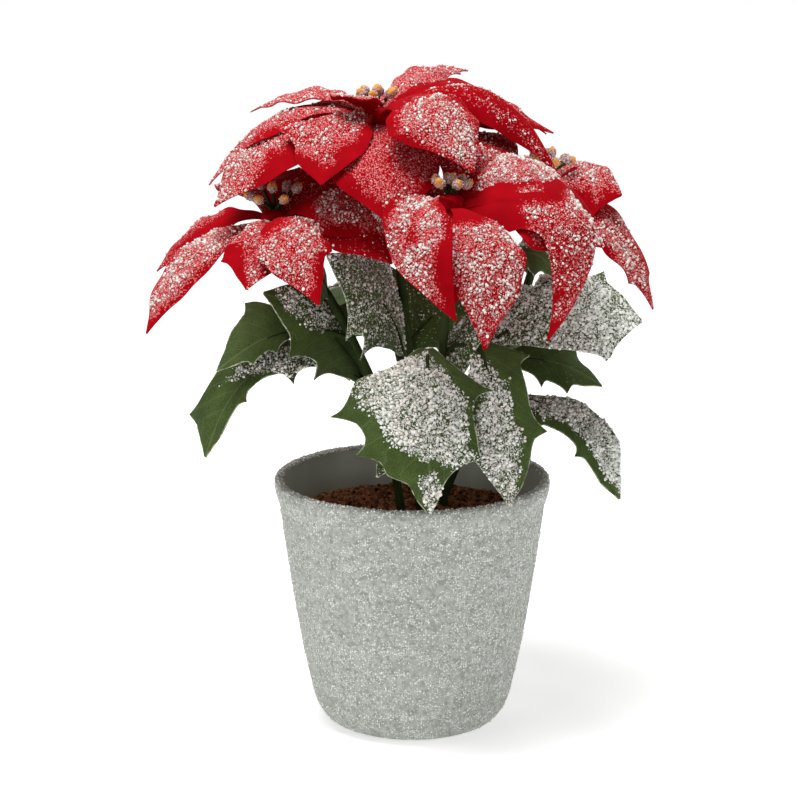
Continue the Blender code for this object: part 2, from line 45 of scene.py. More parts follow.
# Half widths of the cut outlines: (share of the length, share of the half width) from root to tip
cuts = {
    "plain": [(0, .14), (.15, .38), (.34, .87), (.5, 1), (.66, .88), (.82, .5), (1, .03)],
    "full": [(0, .14), (.15, .32), (.34, .77), (.56, 1), (.74, .84), (.88, .4), (1, .03)],
    "tooth": [(0, .14), (.15, .38), (.34, .87), (.5, 1), (.7, .66), (.78, .7), (.83, .38), (1, .03)],
    "lobe": [(0, .14), (.15, .42), (.34, .86), (.5, 1), (.56, .8), (.66, .64), (.8, .52), (1, .03)],
    "jag": [(0, .14), (.15, .45), (.36, 1), (.45, .78), (.62, .86), (.69, .54), (.82, .36), (1, .03)],
    "late": [(0, .14), (.2, .3), (.45, .64), (.66, .92), (.75, 1), (.79, .7), (.9, .36), (1, .03)],
    "shield": [(0, .1), (.14, .55), (.3, .95), (.36, 1), (.45, .72), (.66, .45), (.82, .22), (1, .03)],
    "heel": [(0, .1), (.15, .3), (.3, 1), (.36, .5), (.6, .36), (.66, .52), (.71, .34), (.86, .3),
             (1, .03)],
    "spur": [(0, .1), (.16, .5), (.34, .92), (.5, .95), (.66, .8), (.86, 1), (.9, .55), (1, .03)],
    "apron": [(0, .3), (.08, 1.2), (.16, 1.5), (.26, 1.2), (.4, 1), (.66, .88), (.82, .5), (1, .03)],
    "holly": [(0, .1), (.14, .4), (.27, .98), (.32, .64), (.52, 1), (.57, .6), (.76, .8), (.81, .42),
              (1, .03)],
    "thorn": [(0, .1), (.14, .4), (.36, 1), (.42, .7), (.66, .96), (.71, .54), (.82, .38), (1, .03)],
    "broad left": [(0, .08), (.12, .34), (.2, .6), (.27, .9), (.33, .66), (.42, .6), (.58, .66),
                   (.7, .72), (.74, .42), (.84, .2), (.93, .12), (1, .03)],
    "broad right": [(0, .08), (.12, .36), (.22, .74), (.33, .82), (.43, 1), (.49, .72), (.58, .64),
                    (.67, .74), (.71, .5), (.79, .42), (.84, .22), (.93, .13), (1, .03)],
    "two teeth": [(0, .08), (.07, .5), (.14, 1), (.2, .66), (.42, .6), (.6, .86), (.65, .55),
                  (.8, .42), (.9, .28), (1, .03)],
    "shoulder": [(0, .08), (.1, .45), (.22, 1), (.32, .84), (.5, .86), (.7, 1.04), (.75, .7),
                 (.85, .46), (.93, .22), (1, .03)],
    "far tooth": [(0, .08), (.15, .35), (.32, .58), (.5, .72), (.75, .82), (.84, 1), (.88, .55),
                  (.93, .3), (1, .03)],
}


def bract(heading, reach, drop, width, arch, lift, snow, **shape):
    return dict(heading=heading, reach=reach, drop=drop, width=width, arch=arch, lift=lift, snow=snow,
                **shape)


def leaf(base, heading, reach, drop, width, arch, joins, snow, **shape):
    return dict(base=base, heading=heading, reach=reach, drop=drop, width=width, arch=arch,
                joins=joins, snow=snow, **shape)


# One entry for each flower head, with the same places as the solids. Headings are in degrees, 0 towards
# +X and 90 towards +Y; reach and drop give the tip from the root. snow is (fine frost, beads), 0 to 1, and
# bare lists places without snow as (across from, to, along from, to), across -1 left and 1 right.
heads = {
    "top": dict(
        centre=(-15, -8, 271), budNod=(-90, 0), budTurn=20, budTilt=(38, 54), budStalk=6.5,
        foot=(3, 1), route=[(2, 4, 130), (-3, 5, 180), (-9, 1, 232)],
        bracts=[
            bract(-84, 48, 34, 46, .18, -6, (.7, .07), cup=6),
            bract(-117, 45, 23, 38, .14, -2, (.62, .38), right="lobe", rightScale=1.5, leftScale=.6,
                  roll=10),
            bract(-159, 68, 32, 42, .12, -5, (.8, .55), cup=5, roll=22, leftScale=.6, rightScale=1.1),
            bract(170, 69, 30, 34, .22, -4, (.85, .35), cup=5, roll=5),
            bract(157, 55, 3, 20, .15, -1, (.85, .3), cup=1, roll=10),
            bract(55, 65, -10, 17, .12, 0, (.9, .35), left="tooth", right="tooth", cup=2, roll=-15),
            bract(-125, 21, -9, 26, .14, -1, (.9, .5), cup=1),
            bract(30, 81, 15, 32, .18, -1, (.1, .02), left="full", right="full", cup=2, roll=-15,
                  bare=[(-.4, 1.2, -.1, 1.1)]),
            bract(17, 75, 11, 32, .12, -2, (.8, .2), left="tooth", right="tooth", roll=-25),
            bract(0, 73, 26, 28, .3, -3, (.3, .3), cup=9, roll=-25, rightScale=.8),
            bract(-48, 55, 19, 42, .3, -1, (.75, .7), cup=7, roll=-10, leftScale=.8, rightScale=1.15),
            bract(74, 69, 24, 36, .22, -3, (.85, .5), left="tooth", right="tooth", cup=4),
            bract(123, 60, 22, 34, .22, -3, (.85, .5), left="tooth", right="tooth", cup=4),
            bract(99, 50, 21, 32, .24, -6, (.5, .2), cup=4),
        ],
        leaves=[
            leaf((-4, -12, 166), -137, 43, -49, 54, .12, 148, (.75, .35), left="thorn", right="shield",
                 leftScale=1.2, rightScale=1.1, cup=4, roll=60),
            leaf((-2, 8, 164), 5, 36, -28, 50, .12, 151, (.2, .05), left="thorn", right="thorn",
                 leftScale=1.2, roll=-65),
        ],
    ),
    "left": dict(
        centre=(-58, -18, 229), budNod=(-110, 14), budTurn=0, budTilt=(40, 54), budStalk=10,
        foot=(-5, -8), route=[(-11, -19, 136), (-20, -28, 165), (-40, -27, 202)],
        bracts=[
            bract(-155, 54, 42, 32, .16, -5, (1, .95), cup=5, roll=22, leftScale=.55, rightScale=.9),
            bract(169, 48, 25, 26, .16, -2, (.8, .35), roll=22),
            bract(-71, 57, 24, 34, .24, -4, (.68, .58), left="jag", right="full", leftScale=.75,
                  rightScale=1.1, cup=5),
            bract(-25, 48, 8, 32, .22, -1, (1, .6), cup=4, roll=-25),
            bract(-33, 55, 13, 24, .14, -3, (.25, .1), cup=2, roll=-30),
            bract(18, 40, -5, 30, .22, -1, (.7, .3), cup=2, roll=-40),
            bract(70, 24, -18, 26, .12, -3, (.15, .02), cup=2),
            bract(-100, 49, 18, 34, .2, -5, (.7, .5), right="late", rightScale=.75, cup=4, roll=10,
                  bare=[(.3, 1.2, .6, 1.1)]),
            bract(112, 54, -5, 30, .22, -4, (.85, .5), cup=4),
            bract(82, 55, 4, 30, .22, -3, (.8, .5), cup=4),
        ],
        leaves=[
            leaf((-45, -34, 182), -154, 40, 14, 36, .1, 176, (0, 0), left="thorn", right="shield",
                 leftScale=.45, rightScale=1.12, cup=2, roll=45),
            leaf((-26, -26, 159), -158, 65, 28, 34, .34, 154, (.85, .6), left="heel", right="spur",
                 leftScale=.8, rightScale=1.05, roll=32),
            leaf((-20, -22, 155), -150, 48, -45, 45, .1, 150, (.75, .45), left="thorn", right="thorn",
                 roll=60),
            leaf((-35, -28, 194), -124, 16, -19, 34, .1, 188, (0, 0), cup=2, roll=60),
        ],
    ),
    "front": dict(
        centre=(15, -46, 240), budNod=(-30, 12), budTurn=-12, budTilt=(34, 50), budStalk=6,
        foot=(9, -6), route=[(9, -19, 132), (12, -30, 163), (14, -41, 199)],
        bracts=[
            bract(-88, 48, 39, 27, .32, -2, (.85, .8), cup=-4, swerve=.25),
            bract(-74, 44, 50, 40, .3, -4, (.8, .75), cup=5, rightScale=.65),
            bract(-22, 39, 52, 28, .5, -5, (.6, .5), right="apron", roll=-45, rightScale=.6),
            bract(23, 62, 11, 40, .28, -1, (.95, .9), leftScale=.6, cup=6, roll=-25),
            bract(-4, 59, 17, 38, .22, -3, (.9, .9), right="full", rightScale=1.33, cup=5, roll=-30),
            bract(-87, 30, 33, 20, .22, -5, (.15, .05)),
            bract(65, 62, -18, 32, .16, -2, (.6, .35), leftScale=1.4, roll=-20),
            bract(132, 31, 6, 30, .16, -2, (.5, .3), roll=10),
        ],
        leaves=[
            leaf((6, -42, 176), -89, 40, 60, 60, .16, 166, (.9, .95), left="broad left",
                 right="broad right", rightScale=1.35),
            leaf((25, -38, 178), -66, 35, 62, 44, .16, 170, (.9, .9), left="two teeth", rightScale=.8,
                 cup=2, roll=-10),
            leaf((12, -24, 170), -47, 27, -12, 26, .1, 158, (.6, .3), left="thorn", rightScale=1.5, cup=2,
                 roll=-55),
            leaf((7, -20, 137), -124, 39, 14, 24, .1, 132, (.3, .1), left="thorn", right="thorn", cup=2),
        ],
    ),
    "right": dict(
        centre=(59, 24, 238), budNod=(-10, 10), budTurn=40, budTilt=(42, 56), budStalk=9,
        foot=(14, 8), route=[(27, 16, 129), (44, 23, 169), (56, 27, 208)],
        bracts=[
            bract(-18, 29, 4, 22, .12, -3, (.9, .6), right="late", rightScale=1.3, roll=-45),
            bract(-19, 44, 53, 24, .14, -3, (.8, .6), left="tooth", right="tooth", cup=4, roll=-20),
            bract(68, 54, 14, 32, .22, -3, (.85, .5), left="tooth", right="tooth"),
            bract(101, 49, 7, 32, .22, -3, (.85, .5)),
            bract(45, 24, 31, 30, .26, -5, (.5, .3), left="tooth", right="tooth"),
            bract(154, 19, 9, 28, .22, -3, (.5, .3)),
        ],
        leaves=[
            leaf((32, -6, 169), -14, 67, -14, 44, .12, 158, (.85, .7), left="shoulder",
                 right="far tooth", roll=-50),
            leaf((38, -4, 144), -36, 61, 34, 36, .22, 136, (.95, .8), left="full", right="heel",
                 leftScale=.8, rightScale=1.1, roll=-20),
            leaf((38, 4, 160), 5, 45, 12, 30, .12, 150, (.05, 0), left="thorn", right="thorn", cup=2,
                 roll=-35),
            leaf((37, 8, 193), -4, 29, 0, 32, .5, 178, (.9, .5), left="thorn", right="thorn", cup=2,
                 roll=-20, bare=[(-.4, 1.2, -.1, 1.1)]),
            leaf((55, 34, 186), 50, 49, 33, 38, .24, 180, (.8, .5), left="thorn", right="thorn", roll=-10),
            leaf((44, 30, 166), 93, 62, 35, 40, .24, 160, (.8, .6), left="holly", right="holly"),
        ],
    ),
    "back": dict(
        centre=(-18, 62, 228), budNod=(100, 10), budTurn=10, budTilt=(36, 52), budStalk=11,
        foot=(5, 14), route=[(-1, 35, 132), (-10, 52, 174), (-17, 61, 206)],
        bracts=[
            bract(20, 37, 27, 34, .26, -3, (.85, .6), left="tooth", right="tooth", cup=4),
            bract(69, 56, 25, 34, .26, -1, (.85, .55), cup=4),
            bract(100, 57, 24, 34, .26, -3, (.85, .55), left="tooth", right="tooth", cup=4),
            bract(133, 53, 23, 34, .26, -1, (.85, .55), cup=4),
            bract(175, 46, 22, 32, .22, -3, (.85, .6), left="tooth", right="tooth", cup=4),
            bract(-130, 33, 12, 26, .22, -5, (.4, .2)),
            bract(-62, 30, 15, 26, .22, -5, (.4, .2)),
        ],
        leaves=[
            leaf((-9, 52, 168), 69, 62, 26, 40, .24, 164, (.85, .7), left="holly", right="holly"),
            leaf((-11, 56, 177), 110, 60, 26, 40, .24, 170, (.85, .7), left="thorn", right="thorn"),
            leaf((-7, 48, 158), 135, 48, 10, 38, .22, 154, (.8, .6), left="holly", right="holly"),
            leaf((2, 32, 122), 74, 58, 9, 34, .24, 118, (.5, .3), left="thorn", right="thorn"),
        ],
    ),
}

# Where snow lies on the blades that face the photograph, as outlines in its pixels. The key is the head,
# the kind of blade and its number. Any other blade has snow all over but its bare places.
snowOutlines = {
    ("top", "bracts", 0): [[
        (356, 125), (385, 126), (408, 139), (438, 158), (437, 178), (420, 183), (408, 196), (397, 204),
        (386, 203), (372, 193), (352, 172), (328, 160), (335, 145)]],
    ("top", "bracts", 1): [[
        (282, 128), (300, 116), (335, 111), (345, 103), (373, 101), (371, 116), (352, 138), (336, 144),
        (328, 163), (321, 160), (309, 153), (284, 148)]],
    ("top", "bracts", 2): [[
        (226, 162), (248, 146), (284, 130), (284, 147), (266, 151), (256, 172), (248, 189), (236, 199),
        (219, 202), (223, 180)]],
    ("top", "bracts", 3): [[
        (208, 190), (212, 170), (228, 158), (250, 131), (280, 110), (300, 109), (345, 107), (340, 113),
        (300, 115), (280, 123), (262, 128), (238, 151)]],
    ("top", "bracts", 8): [[
        (415, 96), (430, 87), (450, 82), (472, 84), (500, 92), (522, 101), (545, 118), (558, 133),
        (540, 121), (505, 103), (480, 94), (455, 89), (425, 97)]],
    ("top", "bracts", 9): [[
        (428, 91), (452, 85), (474, 85), (500, 92), (524, 104), (546, 120), (556, 131), (522, 108),
        (498, 96), (474, 88), (452, 88)], [
        (440, 95), (470, 95), (497, 106), (520, 125), (540, 148), (560, 176), (548, 164), (526, 141),
        (505, 121), (484, 105), (462, 98)]],
    ("top", "bracts", 10): [[
        (399, 118), (412, 104), (440, 93), (460, 110), (472, 124), (475, 145), (475, 166), (452, 158),
        (425, 141), (402, 129)]],
    ("left", "bracts", 0): [[
        (208, 231), (225, 224), (243, 223), (243, 230), (234, 240), (236, 246), (205, 260), (189, 277),
        (175, 295), (152, 314), (149, 306), (165, 278), (172, 260), (195, 239)]],
    ("left", "bracts", 1): [[
        (212, 207), (219, 212), (200, 222), (172, 245), (157, 270), (154, 262), (175, 238), (203, 212)]],
    ("left", "bracts", 2): [[
        (302, 212), (330, 202), (352, 199), (352, 224), (322, 225), (318, 236), (321, 249), (312, 256),
        (312, 284), (305, 292), (284, 283), (258, 284), (257, 262), (250, 258), (235, 272), (233, 266),
        (250, 249), (284, 229)]],
    ("left", "bracts", 3): [[
        (316, 205), (330, 192), (352, 186), (372, 192), (386, 210), (390, 236), (370, 228), (345, 221),
        (322, 222)]],
    ("left", "leaves", 1): [[
        (220, 387), (250, 361), (264, 349), (300, 346), (346, 350), (356, 372), (335, 376), (300, 374),
        (262, 373), (243, 376)]],
    ("left", "leaves", 2): [[
        (272, 286), (286, 287), (316, 305), (322, 299), (331, 308), (342, 331), (316, 331), (288, 311)]],
    ("front", "bracts", 0): [[
        (448, 184), (450, 190), (436, 198), (416, 215), (404, 238), (402, 248), (418, 247), (420, 220),
        (430, 207), (442, 220), (442, 238), (432, 249), (432, 276), (440, 301), (424, 296), (400, 283),
        (384, 262), (386, 236), (400, 203), (416, 190)]],
    ("front", "bracts", 1): [[
        (449, 229), (484, 227), (492, 221), (508, 228), (521, 247), (521, 270), (510, 305), (492, 328),
        (486, 341), (477, 334), (458, 288), (449, 258)]],
    ("front", "bracts", 2): [[
        (546, 242), (590, 240), (598, 258), (590, 288), (566, 315), (551, 318), (556, 303), (568, 298),
        (566, 290), (549, 287)], [
        (524, 207), (536, 203), (550, 206), (566, 204), (572, 190), (592, 203), (604, 246), (566, 250),
        (537, 237)]],
    ("front", "bracts", 3): [[
        (476, 192), (488, 162), (503, 149), (530, 149), (552, 164), (566, 191), (558, 194), (536, 183),
        (506, 187)]],
    ("front", "bracts", 4): [[
        (523, 192), (536, 190), (548, 203), (564, 205), (570, 187), (588, 203), (594, 224), (605, 246),
        (585, 241), (552, 247), (537, 237), (527, 214)]],
    ("front", "leaves", 0): [[
        (360, 379), (392, 368), (414, 354), (427, 353), (452, 382), (467, 404), (467, 440), (474, 459),
        (468, 475), (437, 461), (424, 463), (397, 444), (379, 418), (358, 397)], [
        (419, 480), (434, 472), (447, 492), (432, 514), (424, 500)]],
    ("front", "leaves", 1): [[
        (456, 355), (470, 352), (506, 383), (514, 428), (522, 443), (513, 506), (503, 503), (487, 482),
        (477, 479), (474, 445), (481, 400), (491, 391), (466, 381)]],
    ("right", "bracts", 0): [[
        (548, 148), (572, 154), (600, 158), (616, 172), (628, 193), (612, 186), (600, 184), (597, 198),
        (590, 186), (560, 183)]],
    ("right", "bracts", 1): [[
        (603, 211), (621, 219), (637, 252), (654, 308), (639, 287), (634, 289), (620, 266), (614, 246),
        (596, 234), (597, 225)]],
    ("right", "leaves", 0): [[
        (492, 336), (505, 314), (520, 278), (600, 276), (648, 318), (616, 343), (612, 363), (570, 361),
        (540, 352), (505, 351)]],
    ("right", "leaves", 1): [[
        (515, 392), (538, 396), (553, 369), (584, 381), (602, 414), (618, 444), (628, 506), (608, 478),
        (590, 446), (558, 418), (543, 421)]],
}


def unit(vectors):
    return vectors / np.maximum(np.linalg.norm(vectors, axis=-1, keepdims=True), 1e-9)


def smoothStep(low, high, value):
    share = np.clip((value - low) / (high - low), 0, 1)
    return share * share * (3 - 2 * share)


# The random values repeat after this many, and the primes mix a cell's three numbers into one
lattice = dict(values=4096, shift=100.5, primes=(7919, 104729, 1299709))


# Smooth noise from 0 to 1: random values on a lattice of the given size, blended between its corners
def softNoise(points, size, seed):
    table = np.random.default_rng(seed).random(lattice["values"])
    place = np.asarray(points) / size + lattice["shift"]
    cell = np.floor(place).astype(np.int64)
    share = place - cell
    share = share * share * (3 - 2 * share)
    total = 0
    for corner in np.ndindex(2, 2, 2):
        index = sum((cell[..., a] + corner[a]) * lattice["primes"][a] for a in range(3))
        weight = np.prod([share[..., a] if corner[a] else 1 - share[..., a] for a in range(3)], axis=0)
        total = total + weight * table[index % lattice["values"]]
    return total


# Puts points in mm and arrays of faces into a mesh piece that rides with the plant
def makePiece(name, points, faceSets, materials, nodes, slot, kinds=None, values=None, sharp=50):
    points = np.asarray(points, float).reshape(-1, 3)
    sizes = np.concatenate([np.full(len(faces), faces.shape[1]) for faces in faceSets])
    corners = np.concatenate([faces.ravel() for faces in faceSets])
    mesh = bpy.data.meshes.new(name)
    mesh.vertices.add(len(points))
    mesh.vertices.foreach_set("co", (points * mm).astype(np.float32).ravel())
    mesh.loops.add(len(corners))
    mesh.loops.foreach_set("vertex_index", corners.astype(np.int32))
    mesh.polygons.add(len(sizes))
    mesh.polygons.foreach_set("loop_start", np.concatenate([[0], np.cumsum(sizes)[:-1]]).astype(np.int32))
    for material in materials:
        mesh.materials.append(material)
    if kinds is not None:
        mesh.polygons.foreach_set("material_index", np.concatenate(kinds).astype(np.int32))
    mesh.update(calc_edges=True)
    for label, value in (values or {}).items():
        value = np.asarray(value, np.float32)
        form, key = ("FLOAT_VECTOR", "vector") if value.ndim > 1 else ("FLOAT", "value")
        mesh.attributes.new(label, form, "POINT").data.foreach_set(key, value.ravel())
    mesh.shade_smooth()
    if sharp:
        mesh.set_sharp_from_angle(angle=math.radians(sharp))
    piece = bpy.data.objects.new(name, mesh)
    bpy.context.scene.collection.objects.link(piece)
    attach(piece, "root")
    if nodes:
        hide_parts(*nodes)


# Joins parts, each its points and its arrays of faces: a part's faces count on from the parts before it
def gather(parts):
    starts = np.cumsum([0] + [len(points) for points, _ in parts])
    return (np.vstack([points for points, _ in parts]),
            [faces + start for (_, faceSets), start in zip(parts, starts) for faces in faceSets])


# Quads between the neighbours of a grid of rows and columns, closed round its columns if asked
def gridFaces(rows, columns, closed=False):
    index = np.arange(rows * columns).reshape(rows, columns)
    if closed:
        index = np.hstack([index, index[:, :1]])
    return np.stack([index[:-1, :-1], index[:-1, 1:], index[1:, 1:], index[1:, :-1]], -1).reshape(-1, 4)


# Faces of a stack of rings: quads between them, and a fan at each end to one of two further points
def ringFaces(rows, columns):
    ring = np.arange(columns)
    after = np.roll(ring, -1)
    last = (rows - 1) * columns
    count = rows * columns
    fans = np.vstack([np.stack([after, ring, np.full(columns, count)], -1),
                      np.stack([last + ring, last + after, np.full(columns, count + 1)], -1)])
    return [gridFaces(rows, columns, True), fans]


# Points from a radius and an angle round Z, and a height
def roundZ(radius, angle, height):
    return np.stack(np.broadcast_arrays(radius * np.cos(angle), radius * np.sin(angle), height), -1)


# A profile turned round Z, as a ring of columns for each of its points
def turned(radius, height, columns):
    angle = np.linspace(0, 2 * math.pi, columns, endpoint=False)
    return roundZ(np.asarray(radius, float)[:, None], angle, np.asarray(height, float)[:, None])


offTubes = (0.31, 0.95, 0.05)  # a direction that no stem or stalk runs along


# A closed tube: at each point of the path a ring at radius, cos a times sideways plus sin a times up
def tube(path, radius, sides):
    path = np.asarray(path, float)
    ahead = unit(np.gradient(path, axis=0))
    sideways = unit(np.cross(ahead, offTubes))
    up = np.cross(sideways, ahead)
    angle = np.linspace(0, 2 * math.pi, sides, endpoint=False)[None, :, None]
    radius = np.broadcast_to(radius, len(path))[:, None, None]
    rings = path[:, None] + radius * (np.cos(angle) * sideways[:, None] + np.sin(angle) * up[:, None])
    return np.vstack([rings.reshape(-1, 3), path[:1], path[-1:]]), ringFaces(len(path), sides)


# A Catmull-Rom curve through the points, as count points
def smoothRoute(points, count):
    points = np.array(points, float)
    ends = np.vstack([2 * points[0] - points[1], points, 2 * points[-1] - points[-2]])
    share = np.linspace(0, len(points) - 1, count)
    index = np.minimum(share.astype(int), len(points) - 2)
    t = (share - index)[:, None]
    a, b, c, d = [ends[index + step] for step in range(4)]
    return 0.5 * (2 * b + (c - a) * t + (2 * a - 5 * b + 4 * c - d) * t ** 2
                  + (3 * b - a - 3 * c + d) * t ** 3)


# A tooth's tip is where an outline stops rising and then falls faster than this
tooth = dict(rises=-0.5, falls=-3, slopeBefore=2.2, slopeAfter=1.7, endSlope=0.8)


# Width of a cut edge: a cubic through the cut's points. Before and after a tooth's tip the slope is
# steep and in the notch it is level, so the edge sweeps up to a sharp point in a hollow curve.
def cutShare(cut, along):
    x, y = np.array(cuts[cut]).T
    rise = np.diff(y) / np.diff(x)
    product = rise[:-1] * rise[1:]
    even = np.where(product > 0, 2 * product / (rise[:-1] + rise[1:] + 1e-9), 0)
    slope = np.concatenate([[rise[0]], even, [rise[-1] * tooth["endSlope"]]])
    before, after = slope.copy(), slope.copy()
    tips = 1 + np.nonzero((rise[1:] < tooth["falls"]) & (rise[:-1] > tooth["rises"]))[0]
    before[tips] = np.maximum(rise[tips - 1], 0) * tooth["slopeBefore"]
    after[tips] = rise[tips] * tooth["slopeAfter"]
    before[np.minimum(tips + 1, len(x) - 1)] = 0
    index = np.clip(np.searchsorted(x, along, side="right") - 1, 0, len(x) - 2)
    gap = x[index + 1] - x[index]
    t = (along - x[index]) / gap
    return ((2 * t ** 3 - 3 * t ** 2 + 1) * y[index] + (t ** 3 - 2 * t ** 2 + t) * gap * after[index]
            + (3 * t ** 2 - 2 * t ** 3) * y[index + 1] + (t ** 3 - t ** 2) * gap * before[index + 1])


# The stiffened cloth of bracts and leaves. sweep and ease bend the rows and space them along the rib.
cloth = dict(thickness=0.5, rowStep=1.45, columns=15, leastRow=0.012, sweep=0.12, ease=0.868, cup=3,
             cupPower=1.7, waves=(2.2, 3.6), creaseWidth=1.6, rough=0.5, roughSize=7.0, phase=6.3,
             fullWidth=10)


# A blade's middle surface. Its rib is the chord from root to tip, raised by a parabola of height arch
# times the chord and bent sideways by swerve. The blade is rolled round its rib and cup lowers its edges.
def bladeSurface(blade, root, along, across):
    heading = math.radians(blade["heading"])
    reach = blade["reach"]
    chord = np.array([reach * math.cos(heading), reach * math.sin(heading), -blade["drop"]])
    length = np.linalg.norm(chord)
    side = unit(np.cross(chord, [0.0, 0.0, 1.0]))
    bow = length * (blade["arch"] * np.cross(side, chord / length) + blade.get("swerve", 0) * side)

    def rib(share):
        early = share ** cloth["ease"]
        return root + share[..., None] * chord + (4 * early * (1 - early))[..., None] * bow

    step = 0.001
    swept = np.clip(along + cloth["sweep"] * across ** 2 * along * (1 - along), step, 1.0)
    forward = unit(rib(swept + step) - rib(swept - step))
    sideways = unit(side - (forward @ side)[..., None] * forward)
    normal = np.cross(sideways, forward)
    roll = math.radians(blade.get("roll", 0))
    sideways, normal = (math.cos(roll) * sideways + math.sin(roll) * normal,
                        math.cos(roll) * normal - math.sin(roll) * sideways)
    widths = [cutShare(blade.get(name, "plain"), along) * blade.get(name + "Scale", 1) * blade["width"] / 2
              for name in ("left", "right")]
    half = np.where(across >= 0, widths[1], widths[0])
    cup = blade.get("cup", cloth["cup"]) * np.abs(across) ** cloth["cupPower"] * half / (blade["width"] / 2)
    return rib(swept) + (across * half)[..., None] * sideways - cup[..., None] * normal, half


# The finer blade on a grid: the surface above, with a crease along the rib and edges that ripple
def bladeGrid(blade, root, seed, crease, ripple):
    knots = sorted({share for name in ("left", "right") for share, _ in cuts[blade.get(name, "plain")]})
    length = math.hypot(blade["reach"], blade["drop"]) * (1 + 2 * blade["arch"] ** 2)
    rows = [np.linspace(a, b, max(2, math.ceil((b - a) * length / cloth["rowStep"]) + 1))[:-1]
            for a, b in zip(knots[:-1], knots[1:]) if b - a > cloth["leastRow"]]
    rows = np.concatenate(rows + [[1.0]])
    columns = np.linspace(-1, 1, cloth["columns"])
    along, across = np.meshgrid(rows, columns, indexing="ij")
    points, half = bladeSurface(blade, np.array(root, float), along, across)
    normals = unit(np.cross(np.gradient(points, axis=1), np.gradient(points, axis=0)))
    draw = np.random.default_rng(seed)
    waves = draw.uniform(*cloth["waves"])
    phase = draw.uniform(0, cloth["phase"], 2)
    width = np.clip(half / cloth["fullWidth"], 0, 1)
    wave = np.sin(2 * math.pi * waves * along + np.where(across > 0, phase[0], phase[1]))
    height = (ripple * wave * np.abs(across) ** 2 * width * smoothStep(0, 0.25, along)
              - crease * np.exp(-(across * half / cloth["creaseWidth"]) ** 2) * smoothStep(1, 0.7, along)
              + cloth["rough"] * (softNoise(points, cloth["roughSize"], seed) - 0.5))
    points = points + height[..., None] * normals
    normals = unit(np.cross(np.gradient(points, axis=1), np.gradient(points, axis=0)))
    place = np.stack([across, along, np.broadcast_to(half, across.shape)], -1)
    return dict(points=points, normals=normals, place=place, blade=blade)


# A closed sheet from a grid: the grid moved out by half the thickness, the grid moved in, and a rim
def sheetParts(grid):
    rows, columns = grid["points"].shape[:2]
    half = cloth["thickness"] / 2 * grid["normals"]
    points = np.vstack([(grid["points"] + half).reshape(-1, 3), (grid["points"] - half).reshape(-1, 3)])
    count = rows * columns
    upper = gridFaces(rows, columns)
    index = np.arange(count).reshape(rows, columns)
    border = np.concatenate([index[0, :-1], index[:-1, -1], index[-1, :0:-1], index[:0:-1, 0]])
    ahead = np.roll(border, -1)
    rim = np.stack([border, border + count, ahead + count, ahead], -1)
    return points, [upper, upper[:, ::-1] + count, rim]


# Shelter is read on slanted maps of square cells, one for each direction that snow is sprayed from
shelter = dict(cell=1.5, cells=300, clear=4.0, covered=7.0,
               slants=[(0, 0), (0.35, 0), (-0.35, 0), (0, -0.4), (0, 0.35)])


# How much of the sky each point sees: the highest blade in and beside each cell of a slanted map is found
# first, and a point well below it is sheltered
def skyShare(points, blades):
    everything = np.vstack([blade["points"].reshape(-1, 3) for blade in blades])
    seen = np.zeros(points.shape[:-1])
    for slants in shelter["slants"]:
        def cells(place):
            flat = place[..., :2] - place[..., 2:] * slants
            index = (flat / shelter["cell"] + shelter["cells"] / 2).astype(int)
            return tuple(np.moveaxis(np.clip(index, 1, shelter["cells"] - 2), -1, 0))
        high = np.full((shelter["cells"], shelter["cells"]), -1e3)
        np.maximum.at(high, cells(everything), everything[:, 2])
        wide = high.copy()
        for shift in ((0, 1), (0, -1), (1, 0), (-1, 0)):
            wide = np.maximum(wide, np.roll(high, shift, (0, 1)))
        seen += smoothStep(shelter["covered"], shelter["clear"], wide[cells(points)] - points[..., 2])
    return seen / len(shelter["slants"])


# The photograph's view: the camera looks down a little, from the height of the flowers
view = dict(place=(-5.3, -1150, 417), lookDown=13.37, lens=122.6, sensor=36, pixels=800)


# Where points are seen in the photograph, in its pixels from the top left
def seenAt(points):
    tilt = math.radians(view["lookDown"])
    away = points - np.array(view["place"], float)
    depth = away[..., 1] * math.cos(tilt) - away[..., 2] * math.sin(tilt)
    rise = away[..., 1] * math.sin(tilt) + away[..., 2] * math.cos(tilt)
    focal = view["pixels"] * view["lens"] / view["sensor"]
    middle = view["pixels"] / 2
    return np.stack([middle + focal * away[..., 0] / depth, middle - focal * rise / depth], -1)


# How far inside an outline each place is, negative outside: the distance to the nearest side, with its
# sign from how many sides a level line from the place crosses
def depthInside(places, outline):
    x, y = places[..., 0], places[..., 1]
    nearest = np.full(x.shape, 1e9)
    crossings = np.zeros(x.shape, int)
    corners = np.array(outline, float)
    for (ax, ay), (bx, by) in zip(corners, np.roll(corners, -1, axis=0)):
        run, fall = bx - ax, by - ay
        share = np.clip(((x - ax) * run + (y - ay) * fall) / (run ** 2 + fall ** 2), 0, 1)
        nearest = np.minimum(nearest, np.hypot(x - ax - share * run, y - ay - share * fall))
        level = (ay > y) != (by > y)
        crossings += level & (x < ax + run * (y - ay) / (fall if fall else 1))
    return np.where(crossings % 2 == 1, nearest, -nearest)


# Snow's borders wander by two sizes of noise, each (size in mm, amount): in the photograph's pixels round
# an outline, and in shares of the blade round a bare place. edge and fade are in pixels too.
snowfall = dict(sky=(0.15, 0.7), steep=(-0.2, 0.3), shaded=0.72, leastOnLeaf=0.55, leastOnBract=0.4,
                edge=(-0.9, 1.3), fadeIn=2.0, fadeOnLeaf=2.5, fadeOnBract=9,
                pixelWander=((3.0, 4.5), (1.3, 3.5)), shareWander=((4.5, 0.16), (1.5, 0.1)))


def wander(points, noises):
    return sum(amount * (softNoise(points, size, 3 + index) - 0.5)
               for index, (size, amount) in enumerate(noises))


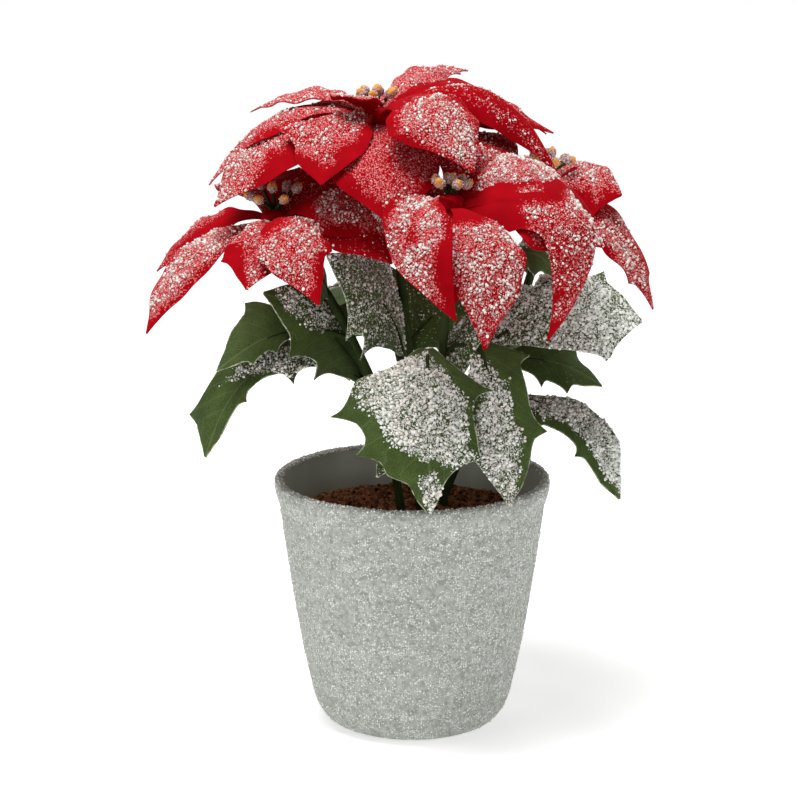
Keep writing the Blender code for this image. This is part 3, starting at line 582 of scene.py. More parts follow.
# Gives a grid its sky and its snow from 0 to 1, as the cover of beads and as fine frost. Snow lies inside
# the blade's outlines or else away from its bare places, and less where it is steep or sheltered. Fine
# frost thins out past the beads, further on a bract.
def laySnow(grid, blades, outlines):
    points, blade = grid["points"], grid["blade"]
    kind = "OnLeaf" if "joins" in blade else "OnBract"
    sky = smoothStep(*snowfall["sky"], skyShare(points, blades))
    grid.update(sky=sky, outlined=outlines is not None)
    if outlines:
        seen = seenAt(points)
        depth = np.max([depthInside(seen, outline) for outline in outlines], axis=0)
        depth = depth + wander(points, snowfall["pixelWander"])
        lit = snowfall["shaded"] + (1 - snowfall["shaded"]) * sky
        grid["fine"] = smoothStep(-snowfall["fade" + kind], snowfall["fadeIn"], depth) * lit
        grid["cover"] = smoothStep(*snowfall["edge"], depth) * lit
        return
    across, along = grid["place"][..., 0], grid["place"][..., 1]
    shift = wander(points, snowfall["shareWander"])
    least = snowfall["least" + kind]
    cover = smoothStep(*snowfall["steep"], grid["normals"][..., 2]) * (least + (1 - least) * sky)
    for left, right, low, high in blade.get("bare", []):
        inside = (smoothStep(left - 0.05, left + 0.05, across + shift)
                  * smoothStep(right + 0.05, right - 0.05, across + shift)
                  * smoothStep(low - 0.04, low + 0.04, along + shift)
                  * smoothStep(high + 0.04, high - 0.04, along + shift))
        cover = cover * (1 - inside)
    grid["fine"] = grid["cover"] = cover


# Random places on a grid, more where weight is high: cells are drawn by area times weight, then a place
# in the cell. Gives points, normals and how open to the sky they are.
def scatterOn(grid, weight, density, draw):
    points, normals = grid["points"], grid["normals"]
    sides = np.cross(points[1:, :-1] - points[:-1, :-1], points[:-1, 1:] - points[:-1, :-1])
    area = np.linalg.norm(sides, axis=-1)
    amount = area * (weight[:-1, :-1] + weight[1:, 1:]) / 2
    count = int(round(amount.sum() * density))
    if count == 0:
        return np.zeros((0, 3)), np.zeros((0, 3)), np.zeros(0)
    chosen = draw.choice(amount.size, count, p=amount.ravel() / amount.sum())
    row, column = np.unravel_index(chosen, amount.shape)
    a, b = draw.random(count)[:, None], draw.random(count)[:, None]

    def blend(values):
        return ((1 - a) * (1 - b) * values[row, column] + a * (1 - b) * values[row + 1, column]
                + (1 - a) * b * values[row, column + 1] + a * b * values[row + 1, column + 1])
    return blend(points), unit(blend(normals)), grid["sky"][row, column]


# Random values from low to high; a power over 1 makes the high ones rare
def uneven(low, high, power, count, draw):
    return low + (high - low) * draw.random(count) ** power


# Small grains: each is one ball of 8 or 20 faces, squashed a little, turned at random by a quaternion and
# set on its place. Gives the part and how many points a grain has.
def grainParts(places, radii, faceCount, draw):
    ball = bmesh.new()
    if faceCount == 8:
        bmesh.ops.create_uvsphere(ball, u_segments=4, v_segments=2, radius=1.0)
    else:
        bmesh.ops.create_icosphere(ball, subdivisions=1, radius=1.0)
    form = np.array([vertex.co for vertex in ball.verts])
    sides = np.array([[vertex.index for vertex in face.verts] for face in ball.faces])
    ball.free()
    count = len(places)
    w, x, y, z = unit(draw.normal(size=(count, 4))).T
    matrix = np.array([[1 - 2 * (y * y + z * z), 2 * (x * y - z * w), 2 * (x * z + y * w)],
                       [2 * (x * y + z * w), 1 - 2 * (x * x + z * z), 2 * (y * z - x * w)],
                       [2 * (x * z - y * w), 2 * (y * z + x * w), 1 - 2 * (x * x + y * y)]])
    scale = radii[:, None] * draw.uniform(0.75, 1.15, (count, 3))
    points = places[:, None] + np.einsum("ijn,nvj->nvi", matrix, form[None] * scale[:, None])
    faces = sides[None] + np.arange(count)[:, None, None] * len(form)
    return (points.reshape(-1, 3), [faces.reshape(-1, sides.shape[1])]), len(form)


# sRGB hex text to a linear colour
def colour(text):
    parts = [int(text[i:i + 2], 16) / 255 for i in (1, 3, 5)]
    return tuple(c / 12.92 if c <= 0.04045 else ((c + 0.055) / 1.055) ** 2.4 for c in parts) + (1.0,)


# Adds a node: inputs are values or sockets to link, the rest are its settings. Gives one output.
def addNode(tree, kind, inputs=None, output=0, **settings):
    node = tree.nodes.new("ShaderNode" + kind)
    for key, value in settings.items():
        setattr(node, key, value)
    for key, value in (inputs or {}).items():
        if isinstance(value, bpy.types.NodeSocket):
            tree.links.new(value, node.inputs[key])
        else:
            node.inputs[key].default_value = value
    return node.outputs[output]


# A material on the principled shader with these constants; an underscore stands for a space. Also gives
# the function above for its nodes.
def newMaterial(name, **constants):
    material = bpy.data.materials.new(name)
    material.use_nodes = True
    shader = material.node_tree.nodes["Principled BSDF"]
    for key, value in constants.items():
        shader.inputs[key.replace("_", " ")].default_value = value
    return material, functools.partial(addNode, material.node_tree)


# Links a colour to the material's shader, and a relief with its strength and its depth in mm
def finish(material, base, relief=None, strength=0.5, depth=0.3):
    tree = material.node_tree
    shader = tree.nodes["Principled BSDF"]
    tree.links.new(base, shader.inputs["Base Color"])
    if relief is not None:
        bump = addNode(tree, "Bump", {"Strength": strength, "Distance": depth * mm, "Height": relief})
        tree.links.new(bump, shader.inputs["Normal"])
    return material


# Fine frost: two sizes of random cells; a cell is a grain where its own random value is under the frost
def frostGrains(add, place, frost, sizes):
    layers = []
    for size, reach in sizes:
        cell = add("TexVoronoi", {"Vector": place, "Scale": 1 / (size * mm)}, 0)
        chance = add("SeparateColor", {0: cell.node.outputs["Color"]})
        over = add("Math", {0: frost, 1: chance}, operation="SUBTRACT")
        present = add("MapRange", {0: over, 1: 0.0, 2: 0.12}, clamp=True)
        rounded = add("MapRange", {0: cell, 1: reach + 0.12, 2: reach - 0.12}, clamp=True)
        layers.append(add("Math", {0: present, 1: rounded}, operation="MULTIPLY"))
    return add("Math", {0: layers[0], 1: layers[1]}, operation="MAXIMUM")


# Polyester velvet, flocked and heat cut: deep red, almost matt, with a soft bright pile at grazing angles.
# The pile and the frost are drawn coarser than they are, so that they show.
def makeVelvet():
    material, add = newMaterial("polyester velvet, flocked", Roughness=0.85, IOR=1.5, Sheen_Weight=0.12,
                                Sheen_Roughness=0.35, Sheen_Tint=colour("#FF2A2A"), Specular_IOR_Level=0.05)
    place = add("TexCoord", output=3)
    frost = add("Attribute", output=2, attribute_name="frost")
    shade = add("TexNoise", {"Vector": place, "Scale": 1 / (9 * mm), "Detail": 3.0})
    pile = add("TexNoise", {"Vector": place, "Scale": 1 / (0.5 * mm), "Detail": 2.0})
    red = add("Mix", {0: shade, 6: colour("#820006"), 7: colour("#A80012")}, 2, data_type="RGBA")
    piled = add("Mix", {0: 0.25, 6: red, 7: pile}, 2, data_type="RGBA", blend_type="OVERLAY")
    grains = frostGrains(add, place, frost, [(0.55, 0.42), (0.95, 0.4)])
    strength = add("Math", {0: grains, 1: 0.8}, operation="MULTIPLY")
    white = add("Mix", {0: strength, 6: piled, 7: colour("#E38A8B")}, 2, data_type="RGBA")
    relief = add("Math", {0: pile, 1: 0.25, 2: grains}, operation="MULTIPLY_ADD")
    return finish(material, white, relief, 0.5, 0.25)


# Polyester leaf cloth, printed green and cut with a hot die: matt, a fine weave, pressed veins, a pale
# ragged line of threads just inside the cut edge, and frost
def makeLeafCloth():
    material, add = newMaterial("polyester leaf cloth, pressed veins", Roughness=0.7, IOR=1.5,
                                Sheen_Weight=0.05, Sheen_Roughness=0.5, Specular_IOR_Level=0.2)
    place = add("TexCoord", output=3)
    frost = add("Attribute", output=2, attribute_name="frost")
    where = add("SeparateXYZ", {0: add("Attribute", output=1, attribute_name="place")})
    across = add("Math", {0: where}, operation="ABSOLUTE")
    along, half = where.node.outputs[1], where.node.outputs[2]
    offRib = add("Math", {0: across, 1: half}, operation="MULTIPLY")
    rib = add("MapRange", {0: offRib, 1: 0.7, 2: 0.25}, clamp=True)
    run = add("Math", {0: along, 1: 9.0}, operation="MULTIPLY")
    slant = add("Math", {0: across, 1: -1.6, 2: run}, operation="MULTIPLY_ADD")
    off = add("Math", {0: slant, 1: 0.5}, operation="PINGPONG")
    side = add("MapRange", {0: off, 1: 0.07, 2: 0.02, 4: 0.55}, clamp=True)
    veins = add("Math", {0: rib, 1: side}, operation="MAXIMUM")
    shade = add("TexNoise", {"Vector": place, "Scale": 1 / (6 * mm), "Detail": 4.0})
    weave = add("TexNoise", {"Vector": place, "Scale": 1 / (0.45 * mm), "Detail": 1.0})
    green = add("Mix", {0: shade, 6: colour("#2B3814"), 7: colour("#4B5E27")}, 2, data_type="RGBA")
    woven = add("Mix", {0: 0.85, 6: green, 7: weave}, 2, data_type="RGBA", blend_type="OVERLAY")
    pressed = add("Math", {0: veins, 1: 0.16}, operation="MULTIPLY")
    veined = add("Mix", {0: pressed, 6: woven, 7: colour("#8B9A6B")}, 2, data_type="RGBA")
    inward = add("Math", {0: 1.0, 1: across}, operation="SUBTRACT")
    toEdge = add("Math", {0: inward, 1: half}, operation="MULTIPLY")
    rim = add("MapRange", {0: toEdge, 1: 0.42, 2: 0.18}, clamp=True)
    threads = add("TexNoise", {"Vector": place, "Scale": 1 / (3 * mm), "Detail": 2.0})
    ragged = add("MapRange", {0: threads, 1: 0.4, 2: 0.55}, clamp=True)
    fringe = add("Math", {0: rim, 1: ragged}, operation="MULTIPLY")
    frayed = add("Mix", {0: fringe, 6: veined, 7: colour("#B5BCA2")}, 2, data_type="RGBA")
    grains = frostGrains(add, place, frost, [(0.6, 0.42), (1.0, 0.4)])
    dusty = add("Mix", {0: shade, 6: colour("#B3B1A8"), 7: colour("#F2F4EE")}, 2, data_type="RGBA")
    strength = add("Math", {0: grains, 1: 0.95}, operation="MULTIPLY")
    white = add("Mix", {0: strength, 6: frayed, 7: dusty}, 2, data_type="RGBA")
    relief = add("Math", {0: weave, 1: 0.2, 2: grains}, operation="MULTIPLY_ADD")
    raised = add("Math", {0: veins, 1: 0.6, 2: relief}, operation="MULTIPLY_ADD")
    return finish(material, white, raised, 0.5, 0.3)


# The cut edge of the leaf cloth: pale broken threads, which draw a thin light line round each leaf
def makeCutEdge():
    material, add = newMaterial("leaf cloth, frayed cut edge", Roughness=0.8, IOR=1.5)
    place = add("TexCoord", output=3)
    threads = add("TexNoise", {"Vector": place, "Scale": 1 / (0.8 * mm), "Detail": 2.0})
    broken = add("MapRange", {0: threads, 1: 0.42, 2: 0.6}, clamp=True)
    pale = add("Mix", {0: broken, 6: colour("#55663F"), 7: colour("#C9CFBD")}, 2, data_type="RGBA")
    return finish(material, pale)


# Artificial snow: granulated white plastic with bright tops. Pink is mixed in: a real stain from the red
# cloth, which under other blades is partly a painted reflection of the red bracts. Grey is mixed in: a random
# dull tone, which under other blades is painted shade
def makeSnow():
    material, add = newMaterial("granulated white plastic snow", Roughness=0.35, IOR=1.49)
    tint = add("Attribute", output=2, attribute_name="tint")
    dullAndShade = add("Attribute", output=2, attribute_name="dullAndShade")
    # pink: a real stain from the red cloth, and under other blades partly a painted reflection of the red
    # bracts
    stainedAndReflected = add("Mix", {0: tint, 6: colour("#F8FBF4"), 7: colour("#DE7B79")}, 2, data_type="RGBA")
    # grey: a random dull tone, and under other blades painted shade
    grey = add("Math", {0: dullAndShade, 1: 0.85}, operation="MULTIPLY")
    dulledAndShaded = add("Mix", {0: grey, 6: stainedAndReflected, 7: colour("#6E6A60")}, 2, data_type="RGBA")
    return finish(material, dulledAndShaded)


# Floral tape over wire: dark green waxed paper, matt, with slanting wraps
def makeTape():
    material, add = newMaterial("waxed floral tape over wire", Roughness=0.75, IOR=1.45,
                                Specular_IOR_Level=0.15)
    place = add("TexCoord", output=3)
    shade = add("TexNoise", {"Vector": place, "Scale": 1 / (5 * mm), "Detail": 4.0})
    green = add("Mix", {0: shade, 6: colour("#182009"), 7: colour("#34421C")}, 2, data_type="RGBA")
    wraps = add("TexWave", {"Vector": place, "Scale": 1 / (20 * mm), "Distortion": 1.5},
                bands_direction="DIAGONAL")
    return finish(material, green, wraps, 0.3, 0.3)


# Dyed foam buds dusted with snow: dull rose grey, with orange yellow pollen on their ends
def makeBudFoam():
    material, add = newMaterial("dyed foam bud, dusted", Roughness=0.75, IOR=1.4)
    place = add("TexCoord", output=3)
    tip = add("Attribute", output=2, attribute_name="tip")
    speck = add("TexNoise", {"Vector": place, "Scale": 1 / (0.7 * mm), "Detail": 3.0})
    dust = add("MapRange", {0: speck, 1: 0.4, 2: 0.6}, clamp=True)
    dusty = add("Mix", {0: dust, 6: colour("#7A4A44"), 7: colour("#D8BCB6")}, 2, data_type="RGBA")
    pollen = add("Mix", {0: speck, 6: colour("#B96A14"), 7: colour("#F0B04A")}, 2, data_type="RGBA")
    whole = add("Mix", {0: tip, 6: dusty, 7: pollen}, 2, data_type="RGBA")
    return finish(material, whole, speck, 0.6, 0.3)


# Stone effect paint on the pot: mottled grey green with white grit, which gathers in level clumps
def makeGritPaint():
    material, add = newMaterial("stone effect paint, sprayed grit", Roughness=0.85, IOR=1.5)
    place = add("TexCoord", output=3)
    broad = add("TexNoise", {"Vector": place, "Scale": 1 / (2.2 * mm), "Detail": 6.0})
    mottle = add("MapRange", {0: broad, 1: 0.35, 2: 0.65}, clamp=True)
    ground = add("Mix", {0: mottle, 6: colour("#898E86"), 7: colour("#B3B6AF")}, 2, data_type="RGBA")
    level = add("Mapping", {0: place, 3: (0.35, 0.35, 1.0)})
    clumps = add("TexNoise", {"Vector": level, "Scale": 1 / (4 * mm), "Detail": 3.0})
    amount = add("MapRange", {0: clumps, 1: 0.34, 2: 0.66, 3: 0.12, 4: 0.55}, clamp=True)
    specks = frostGrains(add, place, amount, [(0.55, 0.42), (0.95, 0.4)])
    strength = add("Math", {0: specks, 1: 0.85}, operation="MULTIPLY")
    speckled = add("Mix", {0: strength, 6: ground, 7: colour("#F8F9F5")}, 2, data_type="RGBA")
    fine = add("TexNoise", {"Vector": place, "Scale": 1 / (0.7 * mm), "Detail": 3.0})
    relief = add("Math", {0: fine, 1: specks}, operation="ADD")
    return finish(material, speckled, relief, 0.7, 0.4)


# The pot's bare inside: moulded grey polypropylene, smooth, with a soft satin shine
def makePotInside():
    material, add = newMaterial("moulded polypropylene, dark grey", Roughness=0.5, IOR=1.49)
    place = add("TexCoord", output=3)
    dust = add("TexNoise", {"Vector": place, "Scale": 1 / (12 * mm), "Detail": 4.0})
    grey = add("Mix", {0: dust, 6: colour("#99A297"), 7: colour("#AEB6AA")}, 2, data_type="RGBA")
    return finish(material, grey)


# Potting mix of coir and bark: red brown crumbs, dry and quite matt
def makeCrumbs():
    material, add = newMaterial("coir and bark crumbs, dry", Roughness=0.95, IOR=1.4, Specular_IOR_Level=0.1)
    place = add("TexCoord", output=3)
    mixed = add("TexNoise", {"Vector": place, "Scale": 1 / (2.4 * mm), "Detail": 5.0})
    bark = add("MapRange", {0: mixed, 1: 0.35, 2: 0.68}, clamp=True)
    brown = add("Mix", {0: bark, 6: colour("#1F1007"), 7: colour("#A9744F")}, 2, data_type="RGBA")
    return finish(material, brown, mixed, 0.8, 0.5)


# Studio paper that glows a little, so it stays white under the soft boxes
def makeFloorPaper():
    material, _ = newMaterial("matt white studio paper", Roughness=0.9, Base_Color=colour("#FAFAFA"),
                              Emission_Color=(1, 1, 1, 1), Emission_Strength=0.45)
    return material


velvet = makeVelvet()
leafCloth = makeLeafCloth()
cutEdge = makeCutEdge()
snow = makeSnow()
tape = makeTape()
budFoam = makeBudFoam()
gritPaint = makeGritPaint()
potInside = makePotInside()
crumbs = makeCrumbs()
print("materials made")


# The pot as it is turned, and its soil. Rows are heights on the inner wall, above the soil and below it;
# rough is how far each surface goes in and out.
pot = dict(height=110, radius=60, wall=4.4, floor=7, foot=31, footHeight=6, wallLow=40.7, wallHigh=57.8,
           lipStart=98, lipRound=1.6, lipInset=0.3, lipRows=9, innerRows=(106, 103, 100, 97, 94),
           deepRows=(80, 46, 15), around=320, rowStep=1.15, rough=0.44)
soil = dict(top=92, centreRise=2.5, midRise=1.6, midRadius=32, around=200, rows=52, rough=1.12, gap=0.35,
            underGap=0.3)


# Outer radius of the pot at a height: a round foot, a wall that swells a little, a lip
def wallRadius(height):
    height = np.asarray(height, float)
    low = np.clip(height / pot["footHeight"], 0, 1)
    share = np.clip((height - pot["footHeight"]) / (pot["lipStart"] - pot["footHeight"]), 0, 1)
    lip = np.clip((height - pot["lipStart"]) / (pot["height"] - pot["lipStart"]), 0, 1)
    foot = pot["foot"] + (pot["wallLow"] - pot["foot"]) * low ** 0.35
    wall = (pot["wallLow"] + (pot["wallHigh"] - pot["wallLow"]) * share ** 0.7
            + (pot["radius"] - pot["wallHigh"]) * np.minimum(lip * 1.6, 1))
    return np.where(height < pot["footHeight"], foot, wall)


def innerRadius(height):
    return float(wallRadius(height)) - pot["wall"]


# Radius and height on the lip: a half circle over the wall, pressed flat, from outside to inside
def lipPlace(angle):
    half = pot["wall"] / 2 - pot["lipInset"]
    return (pot["radius"] - half * (1 - np.cos(angle)), pot["height"] - pot["lipRound"] * (1 - np.sin(angle)))


# The pot: a closed profile of radius and height turned round Z, with grit raised on its outer side
def makePot():
    outer = np.arange(0.35, pot["height"] - 1.5, pot["rowStep"])
    inner = np.array([*pot["innerRows"], soil["top"], *pot["deepRows"]])
    start = [(6, 0), (20, 0), (pot["foot"] - 1.5, 0)]
    end = [(innerRadius(pot["floor"]) - 4, pot["floor"]), (12, pot["floor"])]
    profile = np.vstack([start, np.stack([wallRadius(outer), outer], -1),
                         np.stack(lipPlace(np.linspace(0, math.pi, pot["lipRows"])), -1),
                         np.stack([wallRadius(inner) - pot["wall"], inner], -1), end])
    points = turned(profile[:, 0], profile[:, 1], pot["around"])
    ahead = unit(np.gradient(profile, axis=0))
    outward = turned(ahead[:, 1], -ahead[:, 0], pot["around"])
    rows = np.arange(len(profile))
    lipRow = len(start) + len(outer)
    gritty = smoothStep(3, 7, rows) * smoothStep(lipRow + 9, lipRow + 5, rows)
    lumps = (softNoise(points, 1.3, 11) - 0.5) + 0.7 * (softNoise(points, 3.1, 12) - 0.5)
    points = points + (pot["rough"] * gritty[:, None] * lumps)[..., None] * outward
    points = np.vstack([points.reshape(-1, 3), [(0, 0, 0), (0, 0, pot["floor"])]])
    quads, fans = ringFaces(len(profile), pot["around"])
    inside = np.arange(len(quads)) >= (lipRow + 8) * pot["around"]
    makePiece("pot_painted", points, [quads, fans], [gritPaint, potInside], ["pot"], "pot",
              [inside, np.repeat([0, 1], pot["around"])])


# Grains tried on the wall, which are kept in level clumps of this size, and grains round the lip's angles
grit = dict(onWall=9000, margin=1.5, upwards=0.9, out=0.02, clump=4.0, flat=(0.5, 0.5, 1), keep=(0.2, 0.75),
            onLip=900, lipAngles=(0.2, 2.9), radii=(0.22, 0.72), fewLarge=1.7, tint=0.1, dullAndShade=0.35)


# Raised white grit on the pot's outer wall and over its lip: grains at random angles and heights, half
# sunk in the paint
def makePotGrit():
    draw = np.random.default_rng(21)
    count = grit["onWall"]
    angle = draw.uniform(0, 2 * math.pi, count)
    height = uneven(grit["margin"], pot["height"] - grit["margin"], grit["upwards"], count, draw)
    places = roundZ(wallRadius(height) + grit["out"], angle, height)
    keep = softNoise(places * grit["flat"], grit["clump"], 13) > draw.uniform(*grit["keep"], count)
    angle = draw.uniform(0, 2 * math.pi, grit["onLip"])
    radius, height = lipPlace(draw.uniform(*grit["lipAngles"], grit["onLip"]))
    places = np.vstack([places[keep], roundZ(radius, angle, height)])
    radii = uneven(*grit["radii"], grit["fewLarge"], len(places), draw)
    part, size = grainParts(places, radii, 8, draw)
    tint = np.repeat(draw.uniform(0, grit["tint"], len(places)), size)
    dullAndShade = np.repeat(draw.uniform(0, grit["dullAndShade"], len(places)), size)
    makePiece("pot_grit", *part, [snow], [], "pot", values=dict(tint=tint, dullAndShade=dullAndShade), sharp=None)


# The soil rises from its edge to the middle
def soilHeight(radius, edge):
    return soil["top"] + np.interp(radius, [0, soil["midRadius"], edge],
                                   [soil["centreRise"], soil["midRise"], 0])


# The soil's body: rings from the middle to the wall with crumbs raised on top, closed below
def makeSoil():
    edge = innerRadius(soil["top"]) - soil["gap"]
    radius = np.linspace(0.6, edge, soil["rows"])
    grid = turned(radius, soilHeight(radius, edge), soil["around"])
    lumps = (softNoise(grid, 1.6, 31) - 0.5) + 0.8 * (softNoise(grid, 4.0, 32) - 0.5)
    grid[..., 2] += soil["rough"] * lumps * smoothStep(edge, edge - 2, radius)[:, None]
    bottom = pot["floor"] + soil["underGap"]
    lower = [innerRadius(height) - soil["gap"] for height in pot["deepRows"]]
    below = turned([*lower, innerRadius(pot["floor"]) - 4.5], [*pot["deepRows"], bottom], soil["around"])
    rings = np.concatenate([grid, below])
    points = np.vstack([rings.reshape(-1, 3), [(0, 0, grid[0, :, 2].mean()), (0, 0, bottom)]])
    faceSets = [faces[:, ::-1] for faces in ringFaces(len(rings), soil["around"])]
    makePiece("soil_body", points, faceSets, [crumbs], ["soil"], "soil", sharp=None)


# Loose crumbs: how many, how far from the wall, their radii, and how far they are raised from the soil
loose = dict(count=2200, fromWall=1.6, edge=51, radii=(0.45, 1.65), fewLarge=2.5, raised=(-0.2, 0.5))


# Loose crumbs lying on the soil, smaller ones more often
def makeSoilCrumbs():
    draw = np.random.default_rng(33)
    count = loose["count"]
    radius = (innerRadius(soil["top"]) - loose["fromWall"]) * np.sqrt(draw.random(count))
    angle = draw.uniform(0, 2 * math.pi, count)
    sizes = uneven(*loose["radii"], loose["fewLarge"], count, draw)
    height = soilHeight(radius, loose["edge"]) + draw.uniform(*loose["raised"], count)
    part, _ = grainParts(roundZ(radius, angle, height), sizes, 20, draw)
    makePiece("soil_crumbs", *part, [crumbs], [], "soil", sharp=None)


makePot()
makePotGrit()
makeSoil()
makeSoilCrumbs()
print("pot and soil made")

# Stems are wire wrapped in green tape. stalk is the radius of a leaf stalk, which ends that far under its
# leaf. The boss of a head reaches above and below its centre, and bracts start at bractOut from it.
stem = dict(radius=1.9, stalk=0.95, under=0.45, sides=12, bottom=50.3, knobs=0.12)
head = dict(radius=6.0, above=1.0, below=11.0, bractOut=4.0)


# The stem's middle line: up from the soil, through its bends, upright into the head
def stemRoute(spot):
    x, y = spot["foot"]
    cx, cy, cz = spot["centre"]
    end = cz - head["below"] - 0.3
    middle = smoothRoute([(x, y, soil["top"] + 6), *spot["route"], (cx, cy, end - 5)], 70)
    low = [(x, y, z) for z in np.linspace(stem["bottom"], soil["top"] + 3, 8)]
    return np.vstack([low, middle, [(cx, cy, end)]])


def bractRoot(spot, blade):
    heading = math.radians(blade["heading"])
    out = np.array([math.cos(heading), math.sin(heading), 0]) * head["bractOut"]
    return np.array(spot["centre"], float) + out + (0, 0, blade["lift"])


# All blades are laid out first, because each one's snow depends on what hangs over it
bractGrids, leafGrids = {}, {}
for number, (name, spot) in enumerate(heads.items()):
    seed = 100 * number
    bractGrids[name] = [bladeGrid(blade, bractRoot(spot, blade), seed + index, crease=0.5, ripple=0.9)
                        for index, blade in enumerate(spot["bracts"])]
    leafGrids[name] = [bladeGrid(blade, blade["base"], seed + 50 + index, crease=0.6, ripple=0.7)
                       for index, blade in enumerate(spot["leaves"])]
allBlades = [grid for grids in (bractGrids, leafGrids) for group in grids.values() for grid in group]
for kind, grids in (("bracts", bractGrids), ("leaves", leafGrids)):
    for name, group in grids.items():
        for index, grid in enumerate(group):
            laySnow(grid, allBlades, snowOutlines.get((name, kind, index)))
print("blades laid out:", len(allBlades))


# One piece of many sheets, with the frost and the place on the blade kept as attributes. Every third set
# of faces is a rim, which has the last material.
def makeSheets(name, grids, materials, node, slot):
    points, faceSets = gather([sheetParts(grid) for grid in grids])
    edge = len(materials) - 1
    kinds = [np.full(len(faces), edge if index % 3 == 2 else 0) for index, faces in enumerate(faceSets)]
    fine = [grid["fine"].ravel() * grid["blade"]["snow"][0] for grid in grids]
    frost = np.concatenate([np.concatenate([upper, 0 * upper]) for upper in fine])
    place = np.vstack([np.tile(grid["place"].reshape(-1, 3), (2, 1)) for grid in grids])
    makePiece(name, points, faceSets, materials, [node], slot, kinds, dict(frost=frost, place=place))


# The small boss that the bracts grow from: a rounded profile turned round the stem's line
def makeBoss(name, spot):
    share = np.linspace(0, 1, 14)
    radius = np.interp(share, [0, 0.2, 0.45, 0.8, 0.93, 1], [3.0, 4.2, 5.6, head["radius"], 5.2, 3.0])
    rise = share * (head["above"] + head["below"]) - head["below"]
    points, faceSets = tube(spot["centre"] + rise[:, None] * (0, 0, 1), radius, 20)
    makePiece("boss_" + name, points, faceSets, [velvet], ["bracts_" + name], "bracts",
              values=dict(frost=np.zeros(len(points))), sharp=60)


# A stem and its leaf stalks: tubes, with small knobs along the stem where the tape overlaps
def makeStem(name, spot):
    route = stemRoute(spot)
    knob = 1 + stem["knobs"] * (softNoise(route, 4.0, 41) - 0.5)
    tubes = [tube(route, stem["radius"] * knob, stem["sides"])]
    for blade in spot["leaves"]:
        base = np.array(blade["base"], float)
        start = [np.interp(blade["joins"], route[:, 2], route[:, axis]) for axis in range(3)]
        bend = (start + base) / 2 + (0, 0, 1.5)
        ahead, _ = bladeSurface(blade, base, np.array([0.07, 0.18, 0.4]), np.zeros(3))
        stalk = smoothRoute([start, bend, *(ahead - (0, 0, stem["under"]))], 26)
        tubes.append(tube(stalk, np.linspace(stem["stalk"] * 1.25, 0.45, 26), 8))
    makePiece("stem_wrapped_" + name, *gather(tubes), [tape], ["stem_" + name], "greenery", sharp=60)


for name, spot in heads.items():
    makeStem(name, spot)
    makeBoss(name, spot)
    makeSheets("bract_sheets_" + name, bractGrids[name], [velvet], "bracts_" + name, "bracts")
    makeSheets("leaf_sheets_" + name, leafGrids[name], [leafCloth, cutEdge], "stem_" + name, "greenery")
print("stems, bracts and leaves made")

# Beads per square mm of snow, their radii, and how pink they are in the open and under other blades: a real
# stain from the red cloth, with the extra pink under other blades a painted reflection of the red bracts.
# On blades without an outline there are fewer, by the share unseen. raised is in shares of the radius,
# clump is a size, from thin to thick. A bead is at most as grey as this, in the open and sheltered: a random
# dull tone, and the extra grey when sheltered is painted shade.
beads = dict(
    unseen=0.72, raised=0.45, clump=3.5, thin=0.35, thick=1.65, fewLarge=1.5, fewStainedAndReflected=1.4, fewDullAndShade=3,
    dullAndShade=(0.5, 0.8),
    bracts=dict(big=0.46, small=1.45, bigRadius=(0.36, 0.74), smallRadius=(0.2, 0.36), stainAndReflection=(0.7, 0.85)),
    leaves=dict(big=0.8, small=2.4, bigRadius=(0.42, 0.85), smallRadius=(0.25, 0.46), stainAndReflection=(0.01, 0.22)))


# Snow beads of one group of blades: big round ones in clumps, and small ones between them. In the open they
# are white with a real stain and a random dull tone; under other blades more of them are pink, a painted
# reflection of the red bracts, and grey, painted shade.
def makeBeads(name, grids, seed, kind, slot):
    draw = np.random.default_rng(seed)
    style = beads[kind]
    parts, tints, dullAndShadeParts = [], [], []
    for size, faceCount in (("big", 20), ("small", 8)):
        places, radii, skies = [], [], []
        for grid in grids:
            level = grid["blade"]["snow"][1] * (1 if grid["outlined"] else beads["unseen"])
            noise = softNoise(grid["points"], beads["clump"], 51)
            clumps = beads["thin"] + (beads["thick"] - beads["thin"]) * smoothStep(0.35, 0.65, noise)
            found, normals, sky = scatterOn(grid, grid["cover"] * clumps * level, style[size], draw)
            radius = uneven(*style[size + "Radius"], beads["fewLarge"], len(found), draw)
            places.append(found + normals * (cloth["thickness"] / 2 + radius * beads["raised"])[:, None])
            radii.append(radius)
            skies.append(sky)
        places, radii, skies = np.vstack(places), np.concatenate(radii), np.concatenate(skies)
        part, count = grainParts(places, radii, faceCount, draw)
        parts.append(part)
        # Less sky means more pink, as painted reflection of the red bracts, and more grey, as painted shade
        (clean, stainedAndReflected), (bright, grey) = style["stainAndReflection"], beads["dullAndShade"]
        stainAndReflection = uneven(0, stainedAndReflected + (clean - stainedAndReflected) * skies, beads["fewStainedAndReflected"], len(places), draw)
        dullAndShade = uneven(0, grey + (bright - grey) * skies, beads["fewDullAndShade"], len(places), draw)
        tints.append(np.repeat(stainAndReflection, count))
        dullAndShadeParts.append(np.repeat(dullAndShade, count))
    points, faceSets = gather(parts)
    if len(points):
        makePiece(name, points, faceSets, [snow], [], slot, sharp=None,
                  values=dict(tint=np.concatenate(tints), dullAndShade=np.concatenate(dullAndShadeParts)))


for number, name in enumerate(heads):
    makeBeads("snow_bracts_" + name, bractGrids[name], 60 + number, "bracts", "bracts")
    makeBeads("snow_leaves_" + name, leafGrids[name], 70 + number, "leaves", "greenery")
print("snow beads made")

# A bud is an egg, long times as long as wide, and the stalks start on a ring round the middle one
bud = dict(count=7, radius=2.15, long=1.35, stalkRadius=0.62, ring=2.2, gap=0.3, dust=26,
           dustRadii=(0.16, 0.42), dustTint=0.9, dustSunk=0.98)


